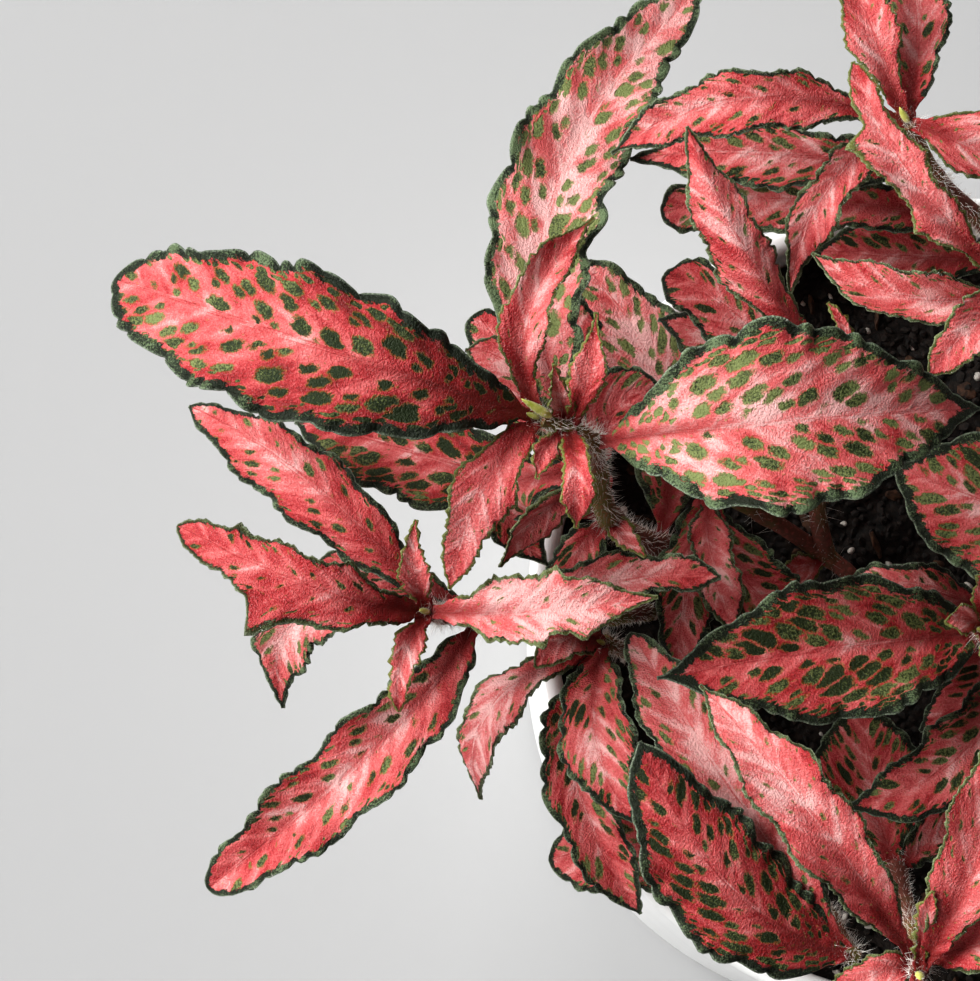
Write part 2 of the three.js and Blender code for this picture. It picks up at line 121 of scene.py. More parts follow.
class Value:
    """A socket's value in a node tree, for maths written as Python expressions."""

    def __init__(self, graph: "Graph", socket: bpy.types.NodeSocket) -> None:
        """Wraps a socket.

        Args:
            graph: The graph that new nodes go into.
            socket: The output socket that holds the value.
        """
        self.graph = graph
        self.socket = socket

    def maths(self, operation: str, *values: "Value | float") -> "Value":
        """Adds a Math node.

        Args:
            operation: The node's operation.
            values: The values of its sockets, in their order.

        Returns:
            The node's result.
        """
        return self.graph.node("ShaderNodeMath", {"operation": operation}, dict(enumerate(values)))

    def __add__(self, other: "Value | float") -> "Value":
        """Adds."""
        return self.maths("ADD", self, other)

    __radd__ = __add__

    def __sub__(self, other: "Value | float") -> "Value":
        """Subtracts."""
        return self.maths("SUBTRACT", self, other)

    def __rsub__(self, other: "Value | float") -> "Value":
        """Subtracts from a number."""
        return self.maths("SUBTRACT", other, self)

    def __mul__(self, other: "Value | float") -> "Value":
        """Multiplies."""
        return self.maths("MULTIPLY", self, other)

    __rmul__ = __mul__

    def __pow__(self, other: "Value | float") -> "Value":
        """Raises to a power."""
        return self.maths("POWER", self, other)

    def size(self) -> "Value":
        """The value without its sign."""
        return self.maths("ABSOLUTE", self)

    def larger(self, other: "Value | float") -> "Value":
        """The larger of two values."""
        return self.maths("MAXIMUM", self, other)


class Graph:
    """Adds nodes to a tree, and holds the few kinds that the finishes share."""

    def __init__(self, tree: bpy.types.NodeTree) -> None:
        """Takes a tree and empties it.

        Args:
            tree: The node tree of a material or a modifier.
        """
        self.tree = tree
        tree.nodes.clear()

    def node(
        self,
        kind: str,
        settings: dict[str, Any],
        sockets: dict[int | str, Any],
        output: int | str = 0,
    ) -> Value:
        """Adds any node.

        Args:
            kind: The node's type.
            settings: Its settings, which are set first.
            sockets: The value or link of each input, by index or name.
            output: The output to return.

        Returns:
            The value of that output.
        """
        made = self.tree.nodes.new(kind)
        for name, value in settings.items():
            setattr(made, name, value)
        for key, value in sockets.items():
            self.feed(made.inputs[key], value)
        return Value(self, made.outputs[output])

    def feed(self, socket: bpy.types.NodeSocket, value: Any) -> None:
        """Links a value to an input socket, or sets it there.

        Args:
            socket: The input socket.
            value: A Value, or a plain number, vector, colour, name or material.
        """
        if isinstance(value, Value):
            self.tree.links.new(value.socket, socket)
        else:
            socket.default_value = value

    def output(self, value: Value, name: int | str) -> Value:
        """Another output of the node that a value comes from."""
        return Value(self, value.socket.node.outputs[name])

    def attribute(self, name: str) -> tuple[Value, Value, Value]:
        """Reads a vector attribute of the mesh.

        Args:
            name: The attribute's name.

        Returns:
            Its three numbers.
        """
        found = self.node("ShaderNodeAttribute", {"attribute_name": name}, {}, "Vector")
        return self.split(found)

    def split(self, vector: Value) -> tuple[Value, Value, Value]:
        """Splits a vector into its three numbers."""
        x = self.node("ShaderNodeSeparateXYZ", {}, {0: vector})
        return x, self.output(x, 1), self.output(x, 2)

    def vector(self, x: Value | float, y: Value | float, z: Value | float = 0.0) -> Value:
        """Makes a vector of three numbers."""
        return self.node("ShaderNodeCombineXYZ", {}, {0: x, 1: y, 2: z})

    def place(self) -> Value:
        """The place on the piece, in metres."""
        return self.node("ShaderNodeTexCoord", {}, {}, "Object")

    def smooth(self, value: Value, low: Value | float, high: Value | float) -> Value:
        """Rises smoothly from 0 at low to 1 at high."""
        settings = {"interpolation_type": "SMOOTHSTEP"}
        return self.node("ShaderNodeMapRange", settings, {"Value": value, "From Min": low, "From Max": high})

    def noise(self, vector: Value, scale: float, detail: float = 2.0, roughness: float = 0.5) -> Value:
        """Cloudy noise from 0 to 1.

        Args:
            vector: The place that the noise is read at.
            scale: How many clouds there are to each unit.
            detail: How many finer layers it has.
            roughness: How strong the finer layers are.

        Returns:
            The noise.
        """
        sockets = {"Vector": vector, "Scale": scale, "Detail": detail, "Roughness": roughness}
        return self.node("ShaderNodeTexNoise", {}, sockets)

    def cells(self, vector: Value, feature: str, output: str, randomness: float) -> Value:
        """Cells of size 1 on a plane.

        Args:
            vector: The place that the cells are read at.
            feature: What is measured, such as F1 or N_SPHERE_RADIUS.
            output: The name of the output that holds it.
            randomness: How far the cells are moved from a plain grid.

        Returns:
            The measure that the feature names.
        """
        settings = {"feature": feature, "voronoi_dimensions": "2D"}
        sockets = {"Vector": vector, "Scale": 1.0, "Randomness": randomness}
        return self.node("ShaderNodeTexVoronoi", settings, sockets, output)

    def mix_values(self, share: Value, first: Value, second: Value) -> Value:
        """Mixes two numbers by a share of the second."""
        return first * (1 - share) + second * share

    def mix(self, share: Value | float, first: Value | Colour, second: Value | Colour) -> Value:
        """Mixes two colours.

        Args:
            share: How much of the second colour there is.
            first: The first colour.
            second: The second colour.

        Returns:
            The mixed colour.
        """
        first, second = (linear(c) if isinstance(c, tuple) else c for c in (first, second))
        return self.node("ShaderNodeMix", {"data_type": "RGBA"}, {0: share, 6: first, 7: second}, 2)

    def bump(self, height: Value, distance: float, strength: float = 1.0) -> Value:
        """A normal that follows a height, which is 1 at distance in metres."""
        return self.node("ShaderNodeBump", {}, {"Strength": strength, "Distance": distance, "Height": height})

    def shade(self, sockets: dict[str, Any]) -> None:
        """Ends a material's tree in a Principled surface.

        Args:
            sockets: The values and links of the shader's inputs.
        """
        surface = self.node("ShaderNodeBsdfPrincipled", {}, sockets)
        end = self.tree.nodes.new("ShaderNodeOutputMaterial")
        self.feed(end.inputs["Surface"], surface)


class Builder:
    """A Geometry Nodes tree with named inputs, which turns one mesh into another."""

    def __init__(self, name: str, **inputs: Input) -> None:
        """Makes the tree and its inputs, with a mesh before them and a material after them.

        Args:
            name: The tree's name.
            inputs: The kind of each input, by the input's name.
        """
        self.tree = bpy.data.node_groups.new(name, "GeometryNodeTree")
        self.graph = Graph(self.tree)
        for label, kind in {"Mesh": Input.MESH, **inputs, "Material": Input.MATERIAL}.items():
            self.tree.interface.new_socket(label, in_out="INPUT", socket_type=kind.value)
        self.tree.interface.new_socket("Mesh", in_out="OUTPUT", socket_type=Input.MESH.value)
        self.start = self.tree.nodes.new("NodeGroupInput")

    def given(self, name: str) -> Value:
        """The value of one of the tree's inputs."""
        return Value(self.graph, self.start.outputs[name])

    def close(self, geometry: Value) -> None:
        """Ends the tree: realizes what it placed and gives it its material.

        Args:
            geometry: The geometry that the tree made.
        """
        real = self.graph.node("GeometryNodeRealizeInstances", {}, {0: geometry})
        sockets = {"Geometry": real, "Material": self.given("Material")}
        dressed = self.graph.node("GeometryNodeSetMaterial", {}, sockets)
        end = self.tree.nodes.new("NodeGroupOutput")
        self.graph.feed(end.inputs[0], dressed)

    def run(self, source: bpy.types.Object, name: str, values: dict[str, Any]) -> bpy.types.Object:
        """Applies the tree to a source mesh.

        Args:
            source: The object that holds the mesh.
            name: The new piece's name.
            values: The value of each input, by its name.

        Returns:
            A new object with the plain mesh that the tree made.
        """
        modifier = source.modifiers.new(self.tree.name, "NODES")
        modifier.node_group = self.tree
        for socket in self.tree.interface.items_tree:
            if socket.in_out == "INPUT" and socket.name in values:
                modifier[socket.identifier] = values[socket.name]
        bpy.context.view_layer.update()
        evaluated = source.evaluated_get(bpy.context.evaluated_depsgraph_get())
        mesh = bpy.data.meshes.new_from_object(evaluated)
        mesh.name = name
        source.modifiers.remove(modifier)
        return new_object(name, mesh)


# Meshes

@dataclass
class MeshParts:
    """Gathers vertices, faces and attributes of one piece, in millimetres."""

    points: list[np.ndarray] = field(default_factory=list)
    faces: list[np.ndarray] = field(default_factory=list)
    slots: list[np.ndarray] = field(default_factory=list)
    values: dict[str, list[np.ndarray]] = field(default_factory=dict)
    count: int = 0

    def add(self, points: np.ndarray, faces: np.ndarray, slot: int = 0, **values: np.ndarray) -> None:
        """Adds a part.

        Args:
            points: Its vertices, one a row.
            faces: Its four-sided faces, as rows of indices into points.
            slot: The material slot of the faces.
            values: Three numbers for each vertex, by attribute name.
        """
        self.points.append(points)
        self.add_faces(faces + self.count, slot)
        for name, rows in values.items():
            self.values.setdefault(name, []).append(rows)
        self.count += len(points)

    def add_faces(self, faces: np.ndarray, slot: int) -> None:
        """Adds faces between vertices that are there already."""
        self.faces.append(faces)
        self.slots.append(np.full(len(faces), slot))

    def piece(self, name: str, materials: list[bpy.types.Material]) -> bpy.types.Object:
        """Makes one object of the parts.

        Args:
            name: The object's name.
            materials: Its material slots, in their order.

        Returns:
            The object, with smooth faces and its place held in its mesh.
        """
        points = np.concatenate(self.points) * MM
        faces = np.concatenate(self.faces)
        mesh = bpy.data.meshes.new(name)
        mesh.from_pydata(points, [], [tuple(dict.fromkeys(face)) for face in faces.tolist()])
        mesh.polygons.foreach_set("material_index", np.concatenate(self.slots).astype(np.int32))
        mesh.polygons.foreach_set("use_smooth", np.ones(len(faces), bool))
        for label, rows in self.values.items():
            layer = mesh.attributes.new(label, "FLOAT_VECTOR", "POINT")
            layer.data.foreach_set("vector", np.concatenate(rows).astype(np.float32).ravel())
        for material in materials:
            mesh.materials.append(material)
        mesh.update()
        return new_object(name, mesh)


def unit(vectors: np.ndarray) -> np.ndarray:
    """Vectors of length 1 in the same directions."""
    return vectors / np.linalg.norm(vectors, axis=-1, keepdims=True)


def ease(values: np.ndarray, low: float, high: float) -> np.ndarray:
    """Rises smoothly from 0 at low to 1 at high, or falls where high is the smaller."""
    share = np.clip((values - low) / (high - low), 0, 1)
    return share * share * (3 - 2 * share)


def place(spot: Place) -> np.ndarray:
    """The real point of a place on the plan.

    Args:
        spot: Its x, y and up.

    Returns:
        The point in millimetres from the middle of the pot's underside.
    """
    x, y, up = spot
    share = up / VIEW_POINT[2]
    point = np.array([x, y, 0.0]) * (1 - share) + VIEW_POINT * share
    return point + [0, 0, RIM_LEVEL]


def grid_faces(rows: int, columns: int, start: int = 0, flip: bool = False) -> np.ndarray:
    """Faces of a grid of points.

    Args:
        rows: How many rows of points there are.
        columns: How many points each row has.
        start: The index of the first point.
        flip: Whether the faces point the other way.

    Returns:
        The faces, as rows of four indices.
    """
    corner = (np.arange(rows - 1)[:, None] * columns + np.arange(columns - 1)).ravel() + start
    around = [corner, corner + 1, corner + columns + 1, corner + columns]
    return np.stack(around[::-1] if flip else around, axis=1)


def turned(profile: np.ndarray, segments: int) -> tuple[np.ndarray, np.ndarray]:
    """Turns a profile about the upright axis.

    Args:
        profile: Rows of radius and height, from the axis round to the axis.
        segments: How many steps a turn has.

    Returns:
        The points and the faces of the closed solid.
    """
    turns = 2 * math.pi * np.arange(segments) / segments
    ring = profile[1:-1]
    points = np.stack([
        ring[:, :1] * np.cos(turns),
        ring[:, :1] * np.sin(turns),
        np.repeat(ring[:, 1:], segments, axis=1),
    ], axis=-1).reshape(-1, 3)
    ends = np.array([[0, 0, profile[0, 1]], [0, 0, profile[-1, 1]]])
    step = np.arange(segments)
    after = (step + 1) % segments
    rows = (np.arange(len(ring) - 1) * segments)[:, None]
    faces = np.stack([rows + step, rows + after, rows + after + segments, rows + step + segments], axis=-1)
    low, high = len(points), len(points) + 1
    last = (len(ring) - 1) * segments
    foot = np.stack([np.full(segments, low), after, step, step], axis=1)
    head = np.stack([last + step, last + after, np.full(segments, high), np.full(segments, high)], axis=1)
    return np.concatenate([points, ends]), np.concatenate([faces.reshape(-1, 4), foot, head])


def arc(centre: tuple[float, float], radius: float, start: float, end: float, steps: int) -> np.ndarray:
    """Points of an arc on a profile.

    Args:
        centre: The middle's radius and height.
        radius: The arc's radius.
        start: The angle of the first point, in degrees.
        end: The angle of the last point, in degrees.
        steps: How many steps the arc has.

    Returns:
        Rows of radius and height.
    """
    turns = np.radians(np.linspace(start, end, steps + 1))
    return np.stack([centre[0] + radius * np.cos(turns), centre[1] + radius * np.sin(turns)], axis=1)


# Finishes

def new_material(name: str) -> tuple[bpy.types.Material, Graph]:
    """Makes a material.

    Args:
        name: Its name.

    Returns:
        The material and the graph of its empty tree.
    """
    made = bpy.data.materials.new(name)
    made.use_nodes = True
    return made, Graph(made.node_tree)


@dataclass(frozen=True)
class LeafFinish:
    """The velvety top of a leaf: red flesh, pale veins, green islands and a dark green margin."""

    red: Colour = (178, 40, 46)
    salmon: Colour = (216, 102, 101)
    pale: Colour = (243, 186, 182)
    wine: Colour = (128, 30, 28)
    island: Colour = (28, 42, 2)
    # Painted sheen of the islands: pale grey-green where the velvet catches the light.
    island_sheen: Colour = (124, 134, 80)
    rim: Colour = (134, 134, 40)
    margin: Colour = (14, 26, 2)
    # Painted sheen of the margin, pale grey-green.
    margin_sheen: Colour = (106, 124, 88)
    # Painted highlight along the very rim.
    rim_highlight: Colour = (156, 170, 146)
    rows: float = 1.6
    cell: float = 6.8
    scatter: float = 0.62
    cloud_scale: float = 150.0
    speck_scale: float = 3000.0
    glint_scale: float = 4400.0
    fine_speck_scale: float = 5200.0
    relief: float = 0.0003

    def depth(self, graph: Graph, across: Value, along: Value, room: Value) -> tuple[Value, Value]:
        """Rounded islands between the veinlets.

        Args:
            graph: The material's graph.
            across: The place across the rows, in cells.
            along: The place along the rows, in cells.
            room: How much of its cell an island may fill, from 0 to 1.

        Returns:
            How deep inside an island a place is, in cells, and a number from 0 to 1 for each island.
        """
        spot = graph.vector(across, along)
        middle = graph.cells(spot, "F1", "Distance", self.scatter)
        radius = graph.cells(spot, "N_SPHERE_RADIUS", "Radius", self.scatter)
        border = graph.cells(spot, "DISTANCE_TO_EDGE", "Distance", self.scatter) - 0.06
        chance, other, _ = graph.split(graph.output(middle, "Color"))
        inner = radius * (0.66 + 0.55 * chance) * room - middle
        return inner.maths("MINIMUM", inner, border), other

    def material(self) -> bpy.types.Material:
        """Builds the finish.

        Returns:
            The material.
        """
        made, graph = new_material("leaf top")
        across, along, inward = graph.attribute("veins")
        length, crest, rim = graph.attribute("blade")
        age, islands, fine = graph.attribute("growth")
        # Each leaf's painted light and shade, from its base to its tip: positive paints the flesh paler and
        # the greens sheenier, negative paints the flesh redder and darker as painted shade.
        tone = graph.attribute("down")[2]
        place = graph.place()
        bend = graph.noise(graph.vector(across, along * 0.16), 3.0, 0.6) - 0.5
        net = graph.noise(graph.vector(across * 7, along * 0.3), 1.0, 4.0, 0.7) - 0.5
        fibre = graph.noise(graph.vector(inward * 2.6, (along - inward) * 0.22), 1.0, 4.0, 0.7) - 0.5
        speck = graph.smooth(graph.noise(place, self.speck_scale, 2.0, 0.7), 0.34, 0.66) - 0.5
        # Fine pale specks: part of the flesh's grain and part of the painted sheen on the islands and the
        # margin.
        fine_specks = graph.smooth(graph.noise(place, self.fine_speck_scale, 1.0), 0.3, 0.7) - 0.5
        cloud = graph.noise(place, self.cloud_scale, 2.0) - 0.5
        flow = graph.noise(graph.vector(across * 1.3, along * 0.1), 1.0, 2.0, 0.55) - 0.5
        young = 1 - graph.smooth(age, 0.2, 0.8)
        streak = graph.mix_values(young, net, fibre)

        rows, cell = self.rows, 1 / self.cell
        inside = islands * graph.smooth(inward, 0.3, 1.5)
        room = inside * graph.smooth(fine, 0.75, 0.35)
        coarse, chance = self.depth(graph, across * rows + bend * 0.35, along * cell + bend * 0.35, room)
        room = inside * graph.smooth(fine, 0.2, 0.6)
        small, _ = self.depth(graph, across * (2.0 * rows) + bend, along * (1.6 * cell) + bend, room)
        depth = coarse.larger(small) + speck * 0.1 + net * 0.2
        island = graph.smooth(depth, -0.04, 0.07)
        ring = graph.smooth(depth, -0.07, 0.0) * (1 - graph.smooth(depth, 0.0, 0.07))

        groove = ((across + bend * 0.15).maths("FRACT", across + bend * 0.15) - 0.5).size()
        vein = graph.smooth(groove, 0.25, 0.5) * graph.smooth(inward, 9.0, 1.0)
        ripe = graph.smooth(length, 0.12, 0.5) * graph.smooth(length, 1.0, 0.6)
        heart = graph.smooth(inward, 5.0, 0.0) * ripe
        light = cloud * 1.1 + flow * 1.4 + streak * 0.65 + speck * 0.17 + fine_specks * 0.16
        # Adds each leaf's painted light and shade, and a painted shade that darkens every leaf towards its
        # base; the flesh then runs from wine through red and salmon to pale with it.
        light = light + vein * 0.25 + heart * 0.3 + tone * 0.5 - graph.smooth(length, 0.35, 0.0) * 0.3 - 0.18
        flesh = graph.mix(graph.smooth(light, -0.75, -0.25), self.wine, self.red)
        flesh = graph.mix(graph.smooth(light, -0.45, 0.1), flesh, self.salmon)
        flesh = graph.mix(graph.smooth(light, 0.0, 0.62), flesh, self.pale)
        glint = graph.smooth(graph.noise(place, self.glint_scale, 1.0), 0.6, 0.75) * (0.2 + young * 0.35)
        flesh = graph.mix(glint, flesh, self.pale)
        root = graph.smooth(inward, 1.8, 0.1) * graph.smooth(length, 0.6, 0.1)
        flesh = graph.mix(root * 0.8, flesh, self.wine)

        # Painted sheen on the islands: in specks and clouds, more on some islands than others, and more on
        # leaves with painted light, less on those with painted shade.
        island_sheen_share = speck * 0.5 + fine_specks * 0.3 + cloud * 1.2 + chance * 0.5 + tone * 0.5
        green = graph.mix(graph.smooth(island_sheen_share, 0.0, 0.75), self.island, self.island_sheen)
        body = graph.mix(island, flesh, green)
        body = graph.mix(ring * 0.35, body, self.rim)

        fringe = graph.noise(graph.vector(across * 3.4, along * 0.36), 1.0, 3.0, 0.65) - 0.5
        width = 0.42 + age ** 2.0 * 0.85
        band = graph.smooth(width - rim + fringe * (width * 2.0) + speck * 0.2, -0.1, 0.2)
        # Painted sheen on the margin: on the crests of its lobes, as where they catch the light, in specks
        # and clouds, and more on leaves with painted light.
        margin_sheen_share = graph.smooth(speck * 0.5 + fine_specks * 0.5 + cloud * 1.0 + crest * 0.7 + tone * 0.4, 0.1, 0.9)
        edge = graph.mix(margin_sheen_share, self.margin, self.margin_sheen)
        # Painted highlight along the very rim, where the light catches the edge and its hairs, broken into
        # specks.
        edge = graph.mix(graph.smooth(rim, 0.3, 0.05) * (0.45 + speck * 0.5), edge, self.rim_highlight)
        edge = graph.mix(young * graph.smooth(rim, 0.7, 0.2) * 0.6, edge, self.rim)
        colour = graph.mix(band, body, edge)

        relief = speck * 0.35 + fine_specks * 0.2 + streak * 0.5 * (1 - island)
        relief = relief + island * 0.35 - vein * 0.35 + band * 0.2
        graph.shade({
            "Base Color": colour,
            "Roughness": 0.38 + speck * 0.1 + island.larger(band) * 0.2,
            "Specular IOR Level": 0.4,
            "Normal": graph.bump(relief, self.relief, 0.9),
        })
        return made


@dataclass(frozen=True)
class UndersideFinish:
    """The paler underside of a leaf, with raised veins."""

    flesh: Colour = (196, 112, 112)
    vein: Colour = (224, 158, 152)
    margin: Colour = (86, 112, 82)
    grain_scale: float = 2600.0
    relief: float = 0.00015

    def material(self) -> bpy.types.Material:
        """Builds the finish.

        Returns:
            The material.
        """
        made, graph = new_material("leaf underside")
        across, along, _ = graph.attribute("veins")
        _, _, rim = graph.attribute("blade")
        grain = graph.noise(graph.place(), self.grain_scale, 3.0, 0.6)
        net = graph.cells(graph.vector(across * 3, along * 0.6), "DISTANCE_TO_EDGE", "Distance", 0.8)
        vein = 1 - graph.smooth(net, 0.02, 0.14)
        colour = graph.mix(vein * 0.7 + grain * 0.3, self.flesh, self.vein)
        colour = graph.mix(graph.smooth(grain * 0.8 + 1.1 - rim, 0.0, 0.5), colour, self.margin)
        graph.shade({
            "Base Color": colour,
            "Roughness": 0.7,
            "Sheen Weight": 0.3,
            "Normal": graph.bump(vein + grain * 0.4, self.relief),
        })
        return made


@dataclass(frozen=True)
class StemFinish:
    """Brownish stem skin that turns green in places."""

    brown: Colour = (112, 66, 52)
    green: Colour = (104, 102, 46)
    pink: Colour = (176, 92, 84)
    patch_scale: float = 90.0
    fibre_scale: float = 1700.0
    relief: float = 0.0002

    def material(self) -> bpy.types.Material:
        """Builds the finish.

        Returns:
            The material.
        """
        made, graph = new_material("stem skin")
        patch = graph.noise(graph.place(), self.patch_scale, 2.0)
        fibre = graph.noise(graph.place(), self.fibre_scale, 3.0, 0.6)
        colour = graph.mix(graph.smooth(patch, 0.4, 0.62), self.brown, self.green)
        colour = graph.mix(graph.smooth(fibre, 0.45, 0.75) * 0.7, colour, self.pink)
        graph.shade({
            "Base Color": colour,
            "Roughness": 0.6 + fibre * 0.2,
            "Normal": graph.bump(fibre, self.relief),
        })
        return made


@dataclass(frozen=True)
class PlainFinish:
    """A finish of one small part, whose colour and roughness vary a little."""

    name: str
    first: Colour
    second: Colour
    scale: float
    roughness: float
    relief: float = 0.0001
    coat: float = 0.0
    coat_roughness: float = 0.15
    sheen: float = 0.0
    wear: float = 0.15

    def material(self) -> bpy.types.Material:
        """Builds the finish.

        Returns:
            The material.
        """
        made, graph = new_material(self.name)
        cloud = graph.noise(graph.place(), self.scale, 3.0, 0.55)
        graph.shade({
            "Base Color": graph.mix(graph.smooth(cloud, 0.3, 0.7), self.first, self.second),
            "Roughness": self.roughness + (cloud - 0.5) * self.wear,
            "Coat Weight": self.coat,
            "Coat Roughness": self.coat_roughness,
            "Sheen Weight": self.sheen,
            "Normal": graph.bump(cloud, self.relief),
        })
        return made


GLAZE = PlainFinish("white glaze", (238, 238, 236), (244, 244, 242), 60.0, 0.34, 0.00004, 0.35)
EARTH = PlainFinish("wet earth", (12, 9, 7), (38, 28, 21), 900.0, 0.9, 0.0006)
CRUMB = PlainFinish("earth crumb", (11, 9, 7), (40, 30, 23), 1400.0, 0.85, 0.0002)
BARK = PlainFinish("bark chip", (44, 28, 18), (92, 62, 42), 1100.0, 0.8, 0.0002)
PERLITE = PlainFinish("perlite", (176, 170, 160), (214, 209, 200), 1600.0, 0.8, 0.0002)
HAIR = PlainFinish("white hair", (232, 226, 216), (246, 243, 236), 800.0, 0.55, sheen=0.4)
BUD = PlainFinish("bud skin", (168, 176, 62), (214, 214, 120), 900.0, 0.5, sheen=0.3)
FLOOR = PlainFinish("pale floor", (173, 173, 173), (174, 174, 174), 4.0, 0.9, 0.0)


# The plant

@dataclass(frozen=True)
class Leaf:
    """One leaf, from a numbered point of its stem through its middle to its tip.

    Age 0 is a new leaf, folded and plain, and 1 is a full-grown one. The peak is how far along it is widest,
    and base and point are how sharp its ends are. The fold of its halves and its roll are in degrees. Teeth
    holds the place along it, the size and the side of each large tooth. The last field holds painted light
    and shade at its base and at its tip: where it is positive the flesh is painted paler and its greens get
    more painted sheen, and where it is negative the flesh is painted redder and darker, as painted shade.
    """

    start: int
    middle: Place
    tip: Place
    half_width: float
    age: float
    peak: float = 0.52
    base: float = 1.15
    point: float = 1.0
    roll: float = 0.0
    fold: float | None = None
    spots: float | None = None
    teeth: tuple[Place, ...] = ()
    # Painted light and shade at the base and at the tip, not the leaf's own colour.
    tone: tuple[float, float] = (0.0, 0.0)


@dataclass(frozen=True)
class Shoot:
    """A leafy stem: its node's name, its radius, the points of its stems and its leaves.

    A side bud is given by its root and its tip. Silk is how long the down on its stem is, against the usual.
    """

    name: str
    radius: float
    stems: tuple[tuple[tuple[float, ...], ...], ...]
    leaves: tuple[Leaf, ...]
    side_bud: tuple[Place, Place] | None = None
    buds: bool = True
    silk: float = 1.0
